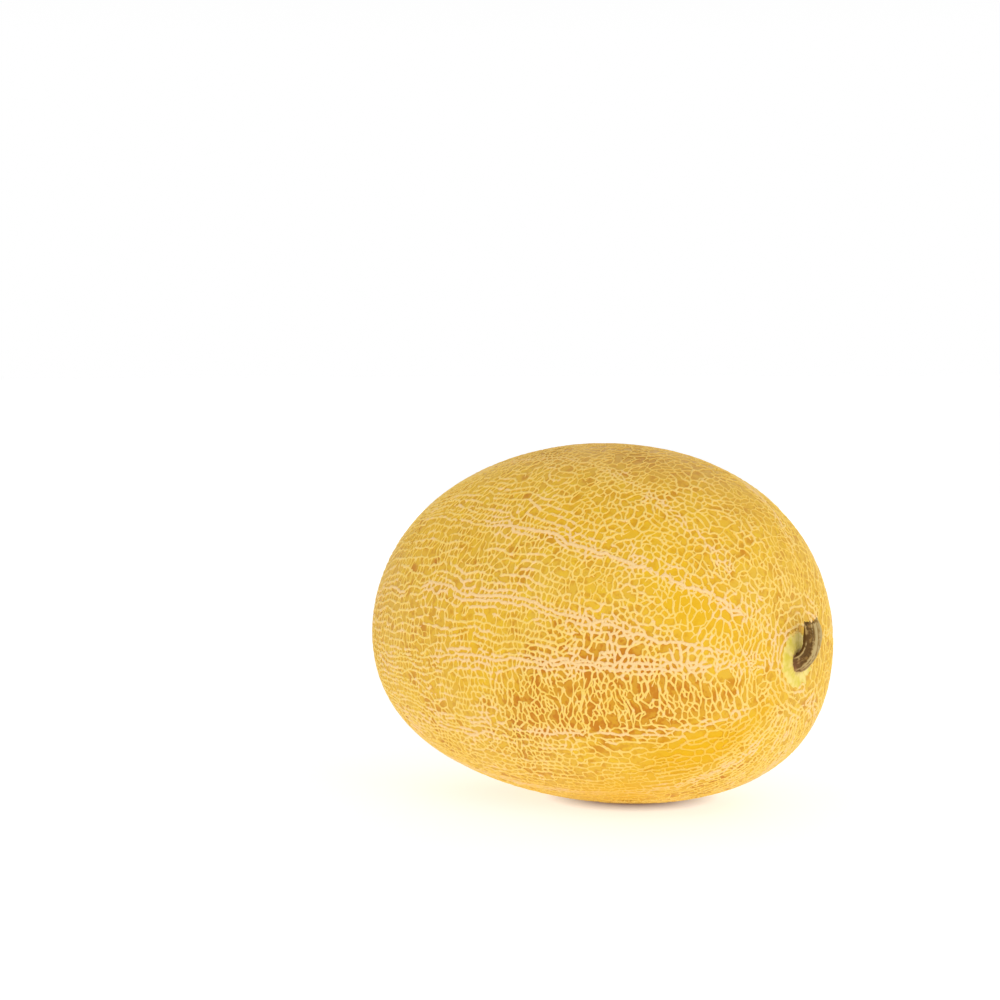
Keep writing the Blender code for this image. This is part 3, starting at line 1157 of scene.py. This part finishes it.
@dataclass(frozen=True)
class GoldenRind:
    """The skin between the net's lines: golden, with lemon and olive patches, and orange and tan in
    part painted shade.
    """

    gold: Colour = linear(237, 188, 50)
    orange: Colour = linear(202, 128, 24)
    olive: Colour = linear(230, 184, 60)
    bright: Colour = linear(236, 182, 4)
    # The tan painted over the top as shade, in part the rind's own tone.
    tan: Colour = linear(214, 166, 84)
    lemon: Colour = linear(242, 200, 40)
    roughness: float = 0.46
    uneven_roughness: float = 0.14
    field_size: float = 30e-3
    patch_size: float = 8.5e-3
    fleck_size: float = 3.0e-3
    lemon_size: float = 6.0e-3
    smear_size: float = 4.0e-3
    pore_size: float = 1.1e-3
    pore_depth: float = 0.12e-3

    def material(self) -> bpy.types.Material:
        """The skin's material.

        Returns:
            The material, which reads the skin's bright, orange and tan numbers; the orange and the
            tan are in part painted shade.
        """
        surface = Surface("golden_rind")
        broad = surface.noise(self.field_size, 3.0).between(0.34, 0.66)
        patch = surface.noise(self.patch_size, 3.0, shift=3.0).between(0.50, 0.70)
        fleck = surface.noise(self.fleck_size, shift=7.0).between(0.48, 0.68)
        lemon = surface.noise(self.lemon_size, shift=5.0).between(0.50, 0.68)
        base = surface.mix(broad, self.gold, self.olive)
        base = surface.mix(lemon * 0.6, base, self.lemon)
        # Orange in the dense web and rung regions: the rind's own, in part painted shade in the
        # small cells between close ridges.
        orange_and_shade = surface.attribute("orange_and_shade").clamped() * (fleck * 0.4 + 0.56)
        base = surface.mix((patch * 0.60 + orange_and_shade).clamped(), base, self.orange)
        base = surface.mix(fleck * 0.46, base, self.orange)
        base = surface.mix(surface.attribute("bright").clamped(), base, self.bright)
        # Tan over the top: painted shade, in part the rind's own tone.
        base = surface.mix(surface.attribute("shaded_tan").clamped() * 0.75, base, self.tan)
        rough = self.roughness + surface.noise(self.smear_size) * self.uneven_roughness
        surface.bump(surface.noise(self.pore_size, 3.0, 0.6), self.pore_depth)
        return surface.finish(base, rough, Specular_IOR_Level=0.2)


@dataclass(frozen=True)
class CorkNet:
    """The raised net: yellow cream where it is fine, pinkish cream where it is bold."""

    fine: Colour = linear(250, 212, 98)
    cream: Colour = linear(253, 218, 120)
    pink: Colour = linear(253, 216, 154)
    # Painted shade for the hollows of the cork's grain.
    shade: Colour = linear(232, 184, 84)
    # The net's tan where shade is painted over the top.
    tan_shade: Colour = linear(232, 190, 108)
    golden: Colour = linear(245, 194, 46)
    roughness: float = 0.72
    drift_size: float = 14e-3
    grain_size: float = 0.9e-3
    grain_depth: float = 0.10e-3

    def material(self) -> bpy.types.Material:
        """The cork's material.

        Returns:
            The material, which reads the net's pale and golden numbers and the tan of painted shade
            over the top.
        """
        surface = Surface("cork_net")
        pale = surface.attribute("pale")
        drift = surface.noise(self.drift_size, shift=1.0) - 0.5
        base = surface.mix((pale + drift * 0.8).between(0.55, 1.05), self.fine, self.cream)
        base = surface.mix((pale + drift * 0.9).between(1.0, 1.5), base, self.pink)
        # Tan over the top of the net: painted shade, in part the cork's own tone.
        base = surface.mix(surface.attribute("shaded_tan").clamped() * 0.6, base, self.tan_shade)
        base = surface.mix(surface.attribute("golden").clamped() * 0.65, base, self.golden)
        grain = surface.noise(self.grain_size, 3.0, 0.6)
        # Darker where the grain's bump sinks: painted shade in its hollows.
        base = surface.mix((1 - grain).between(0.50, 0.72) * 0.45, base, self.shade)
        surface.bump(grain, self.grain_depth)
        return surface.finish(base, self.roughness, Specular_IOR_Level=0.15)


@dataclass(frozen=True)
class StalkDisc:
    """The pale yellow green disc that the stalk grew from."""

    pale: Colour = linear(246, 222, 126)
    green: Colour = linear(226, 204, 66)
    tan: Colour = linear(190, 146, 96)
    roughness: float = 0.6
    cloud_size: float = 6.0e-3
    stain_size: float = 2.0e-3
    grain_size: float = 0.8e-3
    grain_depth: float = 0.10e-3

    def material(self) -> bpy.types.Material:
        """The disc's material.

        Returns:
            The material, which reads the disc's streak and near numbers.
        """
        surface = Surface("stalk_disc")
        cloud = surface.noise(self.cloud_size, 3.0) * 1.2
        shade = (surface.attribute("streak") * 0.10 + cloud).between(0.45, 0.85)
        base = surface.mix(shade, self.pale, self.green)
        stain = surface.noise(self.stain_size).between(0.35, 0.65)
        base = surface.mix(surface.attribute("near").between(0.55, 1.0) * stain, base, self.tan)
        surface.bump(surface.noise(self.grain_size, 3.0), self.grain_depth)
        return surface.finish(base, self.roughness)


@dataclass(frozen=True)
class DriedStalk:
    """The dried stalk: brown, dark olive and greyish on its ribs, with painted light and shade."""

    brown: Colour = linear(156, 122, 64)
    dark: Colour = linear(100, 72, 34)
    grey: Colour = linear(192, 168, 114)
    plum: Colour = linear(148, 104, 76)
    roughness: float = 0.82
    mottle_size: float = 2.2e-3
    grain_size: float = 0.7e-3
    grain_depth: float = 0.16e-3

    def material(self) -> bpy.types.Material:
        """The stalk's material.

        Returns:
            The material, which reads the stalk's rib, foot and lit numbers; lit is painted light.
        """
        surface = Surface("dried_stalk")
        rib = surface.attribute("rib")
        lit = surface.attribute("lit")
        mottle = surface.noise(self.mottle_size, 4.0, 0.6)
        # Dark olive where the mottle is dark and on the side away from the light: the stalk's own
        # mottle and painted shade.
        base = surface.mix((mottle * 1.6 + lit * 0.7 - 0.6).between(0.30, 0.75), self.dark,
                           self.brown)
        # Grey on the rib crests, on pale mottle and on the side towards the light: painted
        # highlight and painted light, with the mottle the stalk's own.
        base = surface.mix((rib * 0.4 + mottle * 1.2 + lit * 0.5).between(0.95, 1.30), base,
                           self.grey)
        foot = surface.attribute("foot").clamped()
        base = surface.mix(foot * mottle.between(0.3, 0.6), base, self.plum)
        surface.bump(surface.noise(self.grain_size, 4.0, 0.65), self.grain_depth)
        return surface.finish(base, self.roughness, Specular_IOR_Level=0.3)


# The pieces

def new_piece(name: str, points: np.ndarray, faces: list[tuple[int, ...]],
              material: bpy.types.Material, values: Arrays | None = None) -> bpy.types.Object:
    """A smooth mesh piece.

    Args:
        name: the piece's name.
        points: its points.
        faces: its faces, as lists of point numbers.
        material: what it is made of.
        values: named numbers kept on its points.

    Returns:
        The object.
    """
    mesh = bpy.data.meshes.new(name)
    mesh.from_pydata(points.tolist(), [], faces)
    for key, numbers in (values or {}).items():
        mesh.attributes.new(key, "FLOAT", "POINT").data.foreach_set("value", numbers.ravel())
    mesh.shade_smooth()
    mesh.materials.append(material)
    piece = bpy.data.objects.new(name, mesh)
    bpy.context.scene.collection.objects.link(piece)
    return piece


def facing_out(piece: bpy.types.Object) -> bpy.types.Object:
    """Turns a closed piece's faces outward.

    Args:
        piece: the piece.

    Returns:
        The same piece.
    """
    work = bmesh.new()
    work.from_mesh(piece.data)
    bmesh.ops.recalc_face_normals(work, faces=work.faces[:])
    work.to_mesh(piece.data)
    work.free()
    return piece


def grid_faces(rows: int, columns: int, first: int | None = None,
               last: int | None = None) -> list[tuple[int, ...]]:
    """Faces of a grid of points whose columns close round.

    Args:
        rows: how many rows it has, listed one after another.
        columns: how many points there are in a row.
        first: the point that closes the first row, if one does.
        last: the point that closes the last row, if one does.

    Returns:
        The faces, as lists of point numbers.
    """
    faces = [(i * columns + j, i * columns + (j + 1) % columns,
              (i + 1) * columns + (j + 1) % columns, (i + 1) * columns + j)
             for i in range(rows - 1) for j in range(columns)]
    start = (rows - 1) * columns
    for j in range(columns):
        ahead = (j + 1) % columns
        if first is not None:
            faces.append((ahead, j, first))
        if last is not None:
            faces.append((start + j, start + ahead, last))
    return faces


def round_angles(sides: int) -> np.ndarray:
    """Angles of evenly spaced points round a circle."""
    return TAU * np.arange(sides) / sides


def ripple(rng: np.random.Generator, angle: np.ndarray, waves: int, size: float) -> np.ndarray:
    """A seeded wave round a rim.

    Args:
        rng: where its height and its start are drawn from.
        angle: the places round the rim.
        waves: how many waves go round.
        size: how high such waves usually are.

    Returns:
        The wave's height at each place.
    """
    return rng.normal(0, size) * np.cos(waves * angle + rng.uniform(0, TAU))


def end_pad(name: str, shape: MelonShape, out: np.ndarray, lift: np.ndarray,
            material: bpy.types.Material, values: Arrays) -> bpy.types.Object:
    """A low pad over an end of the fruit.

    Args:
        name: the piece's name.
        shape: the fruit.
        out: each point's distance from the end, one row to a ring, below 0 at the stalk's end.
        lift: how far each point stands above the crests' surface.
        material: what it is made of.
        values: named numbers kept on its points, with the middle point's last.

    Returns:
        The object.
    """
    rings, sides = out.shape
    roll = np.broadcast_to(round_angles(sides), out.shape)
    points = shape.skin(shape.s_at(out).ravel(), roll.ravel(), lift.ravel())
    points = np.append(points, points[:sides].mean(axis=0)[None], axis=0)
    faces = grid_faces(rings, sides, first=len(points) - 1)
    return facing_out(new_piece(name, points, faces, material, values))


@dataclass
class Fruit:
    """The fruit's skin and its cork net."""

    shape: MelonShape
    plan: NetPlan
    net_height: float = 0.42e-3
    ridge_width: float = 1.60e-3
    top_share: float = 0.58
    wander: float = 2.4e-3
    wander_size: float = 2.6e-3
    sink: float = 0.24e-3
    join: float = 0.42e-3
    rings: int = 190
    sides: int = 260
    dents: float = 0.12e-3
    dent_size: float = 35e-3
    ground_gap: float = 0.15e-3
    sides_of_net: tuple[tuple[str, float], ...] = (
        ("net_front", 0.0), ("net_top", 90.0), ("net_back", 180.0), ("net_under", 270.0))

    def skin(self, material: bpy.types.Material) -> bpy.types.Object:
        """The smooth skin under the net, flat where the fruit rests.

        Args:
            material: what it is made of.

        Returns:
            The object.
        """
        s = np.linspace(-math.pi / 2, math.pi / 2, self.rings + 2)[1:-1]
        s, roll = (a.ravel() for a in np.meshgrid(s, round_angles(self.sides), indexing="ij"))
        points = self.shape.skin(s, roll, -self.net_height)
        out = self.shape.axes(s, roll)[2]
        points = points + out * (Waves(21, self.dent_size)(points) * self.dents)[:, None]
        ends = self.shape.skin(np.array([-1, 1]) * math.pi / 2, np.zeros(2))
        ends[:, 0] += np.array([1, -1]) * self.net_height
        points = np.concatenate([points, ends])
        points[:, 2] = np.maximum(points[:, 2], 0.0)
        faces = grid_faces(self.rings, self.sides, first=len(points) - 2, last=len(points) - 1)
        values = self._tones(np.append(np.sin(s), [-1, 1]), np.append(roll, [0, 0]), points)
        return new_piece("golden_skin", points, faces, material, values)

    @staticmethod
    def _tones(t: np.ndarray, roll: np.ndarray, points: np.ndarray) -> Arrays:
        """Where the skin is a brighter gold, where it is tan with painted shade, and where it is
        orange.

        Args:
            t: places along the fruit.
            roll: places round it.
            points: the same places in space.

        Returns:
            The three numbers for each place.
        """
        def cloud(seed: int, size: float) -> np.ndarray:
            """Soft seeded clouds, from 0 to 1."""
            return np.clip(Waves(seed, size)(points), 0, 1)

        return {
            "bright": patched(GOLDEN, t, roll) + patched(LIGHT, t, roll) + 0.35 * cloud(31, 0.09),
            # The tan over the top: painted shade, in part the rind's own tone.
            "shaded_tan": patched(TAN_SHADE_PATCHES, t, roll) + 0.3 * cloud(33, 0.11),
            # The orange: the rind's own, in part painted shade in the small cells of the dense web.
            "orange_and_shade": patched(ORANGE_AND_SHADE_PATCHES, t, roll) + 0.4 * cloud(35, 0.08),
        }

    def net(self, material: bpy.types.Material) -> list[bpy.types.Object]:
        """The cork ridges, as one piece for each side of the fruit.

        Args:
            material: what they are made of.

        Returns:
            The objects.
        """
        lines = self.plan.lines()
        tree = NetTree(material)
        edges = lines["edges"]
        points = lines["points"] - lines["normals"] * self.net_height
        grounded = points[:, 2] < self.ground_gap
        edges = edges[~grounded[edges].all(axis=1)]
        middles = wrapped(lines["roll"][edges[:, 1]])
        sizes = {NetTree.WIDTH: self.ridge_width, NetTree.HEIGHT: self.net_height,
                 NetTree.SHOULDER: self.top_share, NetTree.WANDER: self.wander,
                 NetTree.WANDER_SIZE: self.wander_size, NetTree.SINK: self.sink,
                 NetTree.JOIN: self.join}
        pieces = []
        for name, middle in self.sides_of_net:
            near = np.abs(wrapped(middles - math.radians(middle))) <= math.pi / 4
            piece = tree.grown(name, self._line_mesh(name, edges[near], points, lines), sizes)
            self._level(piece.data)
            LOG.info("%s: %d faces", name, len(piece.data.polygons))
            pieces.append(piece)
        return pieces

    @staticmethod
    def _line_mesh(name: str, edges: np.ndarray, points: np.ndarray,
                   lines: Arrays) -> bpy.types.Mesh:
        """A mesh of loose edges with the attributes that the tree reads.

        Args:
            name: the piece's name.
            edges: the edges that it takes, as pairs of point numbers.
            points: all the net's points, on the skin.
            lines: the net's other arrays.

        Returns:
            The mesh.
        """
        used, flat = np.unique(edges, return_inverse=True)
        mesh = bpy.data.meshes.new(name + "_lines")
        mesh.from_pydata(points[used].tolist(), flat.reshape(-1, 2).tolist(), [])
        for key in ("width", "pale", "shaded_tan", "golden"):
            made = mesh.attributes.new(key, "FLOAT", "POINT")
            made.data.foreach_set("value", lines[key][used].astype(np.float32))
        made = mesh.attributes.new("skin_normal", "FLOAT_VECTOR", "POINT")
        made.data.foreach_set("vector", lines["normals"][used].astype(np.float32).ravel())
        return mesh

    @staticmethod
    def _level(mesh: bpy.types.Mesh) -> None:
        """Presses what would reach below the flat spot's level up to it.

        Args:
            mesh: the ridges' mesh.
        """
        flat = np.empty(len(mesh.vertices) * 3, dtype=np.float32)
        mesh.vertices.foreach_get("co", flat)
        flat[2::3] = np.maximum(flat[2::3], 0.0)
        mesh.vertices.foreach_set("co", flat)
        mesh.update()


@dataclass
class StalkEnd:
    """The pale disc and the dried stalk that stands on it.

    The stalk's path lists places along, across and above the disc's middle, and its radius there,
    in millimetres. Its broken end lists each ring's share of the width and its depth. The collar
    round its foot has a height, a distance from the middle and a reach.
    """

    shape: MelonShape
    skin_depth: float = 0.42e-3
    disc_radius: float = 13.6e-3
    disc_rise: float = 0.75e-3
    rim_dip: float = 0.2e-3
    ragged_rim: float = 0.060
    streaks: float = 0.26
    groove: float = 0.04e-3
    collar: tuple[float, float, float] = (0.5e-3, 6.2e-3, 1.6e-3)
    disc_rings: int = 26
    disc_sides: int = 144
    path: tuple[tuple[float, float, float, float], ...] = (
        (-1.1, 0.0, 0.0, 5.0), (0.3, 0.0, 0.0, 4.9), (2.2, 0.0, 0.5, 4.3), (4.6, 0.1, 2.0, 3.8),
        (6.7, 0.2, 4.6, 3.8), (7.9, 0.3, 8.2, 3.9), (8.1, 0.4, 12.2, 4.1), (7.7, 0.4, 16.2, 3.8),
        (7.1, 0.3, 19.2, 3.2))
    broken_end: tuple[tuple[float, float], ...] = (
        (0.80, -0.5e-3), (0.45, -1.3e-3), (0.15, -1.1e-3))
    # The way that the stalk's painted light comes from: its lit number is high on the side facing
    # it.
    lit_side: tuple[float, float, float] = (0.82, 0.57, 0.0)
    ribs: int = 5
    rib_depth: float = 0.07
    wrinkle_depth: float = 0.015
    lump_depth: float = 0.045
    foot_flare: float = 0.20
    torn: float = 0.8e-3
    torn_from: float = 0.86
    end_crest: float = 0.3
    stalk_rings: int = 90
    stalk_sides: int = 72

    @cached_property
    def foot(self) -> np.ndarray:
        """The middle of the disc."""
        return self.shape.skin(np.array([math.pi / 2]), np.array([0.0]))[0]

    def disc(self, material: bpy.types.Material) -> bpy.types.Object:
        """The disc: a low pad with a ragged rim, a collar round the stalk and radial streaks.

        Args:
            material: what it is made of.

        Returns:
            The object.
        """
        rng = np.random.default_rng(51)
        angle = round_angles(self.disc_sides)
        ragged = sum(ripple(rng, angle, k, self.ragged_rim / math.sqrt(k)) for k in range(2, 24))
        streak = sum(ripple(rng, angle, k, self.streaks) for k in range(6, 30))
        share = np.linspace(0.02, 1.0, self.disc_rings)[:, None]
        out = share * self.disc_radius * (1 + ragged * share)
        rim = np.clip((1 - share) / 0.16, 0, 1) ** 0.6
        rise, middle, reach = self.collar
        lift = (self.disc_rise * rim - self.skin_depth - self.rim_dip * (1 - rim)
                + self.groove * streak * np.clip(share * (1.15 - share) * 3, 0, 1)
                + rise * np.exp(-((out - middle) / reach) ** 2))
        tone = np.broadcast_to(0.5 + 0.35 * streak, out.shape)
        near = np.broadcast_to(np.clip(1.5 - share * 1.6, 0, 1), out.shape)
        return end_pad("stalk_disc", self.shape, -out, lift, material,
                       {"streak": np.append(tone, 0.5), "near": np.append(near, 1.0)})

    def stalk(self, material: bpy.types.Material) -> bpy.types.Object:
        """The stalk: ribbed, wrinkled along its length, bent upward and broken off ragged.

        Args:
            material: what it is made of.

        Returns:
            The object.
        """
        rng = np.random.default_rng(52)
        middle, radius = self._centre_line()
        angle = round_angles(self.stalk_sides)
        along = np.linspace(0, 1, len(middle))[:, None]
        rib = np.cos(self.ribs * angle)
        wrinkle = self._twisted(rng, angle, along, range(7, 26), (-1.2 * TAU, 1.2 * TAU),
                                self.wrinkle_depth)
        lump = self._twisted(rng, angle, along, range(1, 5), (3, 9), self.lump_depth)
        torn = sum(ripple(rng, angle, k, self.torn / math.sqrt(k)) for k in range(1, 18))
        flare = 1 + self.foot_flare * np.exp(-along / 0.10) * (0.5 + 0.5 * rib)
        spread = radius[:, None] * (1 + self.rib_depth * rib + wrinkle + lump) * flare
        reach = np.clip((along - self.torn_from) / (1 - self.torn_from), 0, 1) * torn
        tangent = unit(np.gradient(middle, axis=0))
        side = unit(np.cross(tangent, np.array([0.0, 1.0, 0.0])))
        other = np.cross(tangent, side)
        round_it = (np.cos(angle)[:, None] * side[:, None]
                    + np.sin(angle)[:, None] * other[:, None])
        points = (middle[:, None] + spread[..., None] * round_it
                  + reach[..., None] * tangent[:, None])
        rim = points[-1]
        hollow = [rim.mean(axis=0) * (1 - share) + rim * share + tangent[-1] * deep
                  for share, deep in self.broken_end]
        points = np.concatenate([points, hollow]).reshape(-1, 3)
        tip, base = points[-self.stalk_sides:].mean(axis=0), middle[0]
        points = np.append(points, [tip, base], axis=0)
        faces = grid_faces(len(along) + len(hollow), self.stalk_sides, first=len(points) - 1,
                           last=len(points) - 2)
        centres = np.append(middle, np.repeat(middle[-1:], len(hollow), axis=0), axis=0)
        centres = np.append(np.repeat(centres, self.stalk_sides, axis=0), [tip, base], axis=0)
        end = np.ones((len(hollow), self.stalk_sides))
        crest = np.append(0.5 + 0.5 * (rib + wrinkle * 12 + lump * 4), end * self.end_crest)
        foot = np.append(np.broadcast_to(np.exp(-along / 0.16), spread.shape), end * 0)
        values = {
            "rib": np.append(crest, [self.end_crest] * 2),
            "foot": np.append(foot, [0, 1]),
            # Painted light: high on the side that faces the light, low on the shaded side.
            "lit": 0.5 + 0.5 * (points - centres) @ np.array(self.lit_side) / radius.mean(),
        }
        return facing_out(new_piece("dried_stalk", points, faces, material, values))

    @staticmethod
    def _twisted(rng: np.random.Generator, angle: np.ndarray, along: np.ndarray,
                 orders: range, turns: tuple[float, float], size: float) -> np.ndarray:
        """Seeded waves round the stalk that turn as they run along it.

        Args:
            rng: where they are drawn from.
            angle: the places round the stalk.
            along: the places along it, from 0 to 1, one to a row.
            orders: how many waves go round, for each of them.
            turns: the least and most that one turns from end to end.
            size: how high such waves usually are.

        Returns:
            Their sum at each place, one row to a place along the stalk.
        """
        total = np.zeros((len(along), len(angle)))
        for waves in orders:
            wave = np.cos(waves * angle + rng.uniform(*turns) * along + rng.uniform(0, TAU))
            total += rng.normal(0, size) * wave
        return total

    def _centre_line(self) -> tuple[np.ndarray, np.ndarray]:
        """The stalk's course, smoothed.

        Returns:
            Points along it, and its radius at each, in metres.
        """
        path = np.array(self.path)
        knots = np.append(0.0, np.cumsum(np.linalg.norm(np.diff(path[:, :3], axis=0), axis=1)))
        dense = np.stack([np.interp(np.linspace(0, knots[-1], 400), knots, column)
                          for column in path.T], axis=1)
        padded = np.pad(dense, ((20, 20), (0, 0)), mode="reflect", reflect_type="odd")
        kernel = np.hanning(43)[1:-1]
        soft = np.stack([np.convolve(column, kernel / kernel.sum(), mode="valid")
                         for column in padded.T], axis=1)
        picks = soft[np.linspace(0, len(soft) - 1, self.stalk_rings).round().astype(int)]
        return self.foot + picks[:, :3] / 1000, picks[:, 3] / 1000


@dataclass
class Scar:
    """The round cork scar where the flower fell off, at the far end.

    Its form lists its height, as a share of the rise, at shares of the way from middle to rim.
    """

    shape: MelonShape
    skin_depth: float = 0.42e-3
    radius: float = 6.4e-3
    rise: float = 0.9e-3
    ragged_rim: float = 0.06
    cracks: float = 0.25
    crack_depth: float = 0.10e-3
    form: tuple[tuple[float, float], ...] = (
        (0, 0.35), (0.35, 0.30), (0.7, 1.0), (0.9, 0.75), (1.0, -0.2))
    rings: int = 18
    sides: int = 96

    def build(self, material: bpy.types.Material) -> bpy.types.Object:
        """The scar: a low ring with a dimple and fine cracks.

        Args:
            material: what it is made of.

        Returns:
            The object.
        """
        rng = np.random.default_rng(61)
        angle = round_angles(self.sides)
        ragged, crack = np.zeros((2, self.sides))
        for k in range(2, 20):
            ragged += ripple(rng, angle, k, self.ragged_rim / math.sqrt(k))
            crack += ripple(rng, angle, k + 6, self.cracks)
        share = np.linspace(0.03, 1.0, self.rings)[:, None]
        out = share * self.radius * (1 + ragged * share)
        form = np.interp(share, *np.array(self.form).T)
        lift = (self.rise * form - self.skin_depth
                + self.crack_depth * crack * share * (1.1 - share))
        pale = np.append(np.broadcast_to(0.55 + 0.5 * form, out.shape), 0.7)
        return end_pad("blossom_scar", self.shape, out, lift, material, {"pale": pale})


@dataclass
class Studio:
    """The floor, the lights and the camera."""

    target: np.ndarray
    azimuth: float = 34.8
    elevation: float = 6.4
    distance: float = 1.272
    lens: float = 90.0
    sensor: float = 36.0
    middle_pixel: tuple[float, float] = (596.2, 620.5)
    frame_pixels: float = 1000.0
    floor_radius: float = 15.0
    floor_sides: int = 64
    room_light: float = 1.0
    overhead_light: float = 0.46
    fade_from: float = 0.12
    floor_glow: float = 0.62
    floor_colour: Colour = (0.55, 0.55, 0.55, 1.0)
    # A painted contact shadow: under the fruit the floor's glow turns dark brown, out from its
    # middle to its reach.
    contact_shadow_colour: Colour = linear(96, 52, 30)
    full_glow: Colour = linear(255, 255, 255)
    contact_shadow_reach: tuple[float, float] = (0.020, 0.044)
    contact_shadow_middle: tuple[float, float] = (0.010, 0.006)
    lamps: tuple[tuple[str, tuple[float, float, float], float, float], ...] = (
        ("key", (1.7, -0.5, 1.1), 1.2, 8.0),
        ("fill", (0.2, -1.9, 0.5), 1.4, 2.0),
        ("back", (-1.2, 1.7, 0.5), 1.6, 6.0))

    def camera(self) -> None:
        """The camera, which holds the fruit's middle at its place in the frame."""
        azimuth, elevation = math.radians(self.azimuth), math.radians(self.elevation)
        back = Vector((math.sin(azimuth) * math.cos(elevation),
                       -math.cos(azimuth) * math.cos(elevation), math.sin(elevation)))
        place = Vector(self.target) + back * self.distance
        data = bpy.data.cameras.new("camera")
        data.lens = self.lens
        data.sensor_width = self.sensor
        data.clip_end = 100.0
        camera = bpy.data.objects.new("camera", data)
        bpy.context.scene.collection.objects.link(camera)
        turn = back.to_track_quat("Z", "Y").to_matrix()
        focal = self.lens / self.sensor * self.frame_pixels
        aim = Vector(((self.middle_pixel[0] - self.frame_pixels / 2) / focal,
                      (self.frame_pixels / 2 - self.middle_pixel[1]) / focal, -1.0))
        look = turn @ Vector((0, 0, -1))
        swing = (turn @ aim).normalized().rotation_difference(look).to_matrix()
        camera.matrix_world = Matrix.Translation(place) @ (swing @ turn).to_4x4()
        bpy.context.scene.camera = camera

    def lights(self) -> None:
        """A white room, dimmer overhead, and large soft lights in front and behind."""
        world = bpy.data.worlds.new("studio")
        world.use_nodes = True
        room = Graph(world.node_tree)
        aim = room.add("ShaderNodeTexCoord").outputs["Generated"]
        height = room.add("ShaderNodeSeparateXYZ", {}, {0: aim}).outputs["Z"]
        fade = room.add("ShaderNodeMapRange", {},
                        {"Value": height, "From Min": self.fade_from,
                         "To Min": self.room_light, "To Max": self.overhead_light})
        background = room.tree.nodes["Background"]
        room.feed(background.inputs["Strength"], fade.outputs["Result"])
        room.feed(background.inputs["Color"], self.full_glow)
        bpy.context.scene.world = world
        for name, place, size, power in self.lamps:
            data = bpy.data.lights.new(name, "AREA")
            data.shape = "SQUARE"
            data.size = size
            data.energy = power
            light = bpy.data.objects.new(name, data)
            light.location = place
            aim = Vector(self.target) - light.location
            light.rotation_euler = aim.to_track_quat("-Z", "Y").to_euler()
            bpy.context.scene.collection.objects.link(light)

    def floor(self) -> bpy.types.Object:
        """A plain pale floor that glows a little, with a painted contact shadow: dark brown glow
        right under the fruit.

        Returns:
            The object, a disc of rings.
        """
        surface = Surface("pale_floor")
        # Painted contact shadow: the glow is dark brown under the fruit.
        glow = surface.mix(surface.attribute("glow"), self.contact_shadow_colour, self.full_glow)
        surface.feed(surface.shader.inputs["Emission Color"], glow)
        material = surface.finish(self.floor_colour, 0.9, Emission_Strength=self.floor_glow)
        low, high = self.contact_shadow_reach
        reach = np.array([0.004, *np.linspace(low, high, 8), 0.3, self.floor_radius])
        out, turn = (a.ravel() for a in np.meshgrid(reach, round_angles(self.floor_sides),
                                                    indexing="ij"))
        points = np.stack([out * np.cos(turn) + self.contact_shadow_middle[0],
                           out * np.sin(turn) + self.contact_shadow_middle[1],
                           np.full(out.size, -1e-4)], axis=1)
        faces = [tuple(range(self.floor_sides)), *grid_faces(len(reach), self.floor_sides)]
        # 0 inside the painted contact shadow, 1 past it.
        lit = np.clip((out - low) / (high - low), 0, 1)
        return new_piece("floor", points, faces, material, {"glow": lit})


def main() -> None:
    """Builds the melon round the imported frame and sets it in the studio."""
    logging.basicConfig(level=logging.INFO, format="%(name)s: %(message)s")
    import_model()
    shape = MelonShape()
    studio = Studio(shape.centre)
    studio.camera()
    studio.lights()
    studio.floor()
    bpy.context.scene.view_settings.view_transform = "Standard"

    cork = CorkNet().material()
    fruit = Fruit(shape, NetPlan(shape, Rows(shape, melon_veins())))
    stalk_end = StalkEnd(shape)
    rind = [fruit.skin(GoldenRind().material()), *fruit.net(cork),
            stalk_end.disc(StalkDisc().material()), Scar(shape).build(cork)]
    for piece in rind:
        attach(piece, BODY)
        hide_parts("fruit")
        LOG.info("piece %s", piece.name)
    stalk = stalk_end.stalk(DriedStalk().material())
    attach(stalk, BODY)
    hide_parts("stem")
    LOG.info("piece %s", stalk.name)


if __name__ == "__main__":
    main()
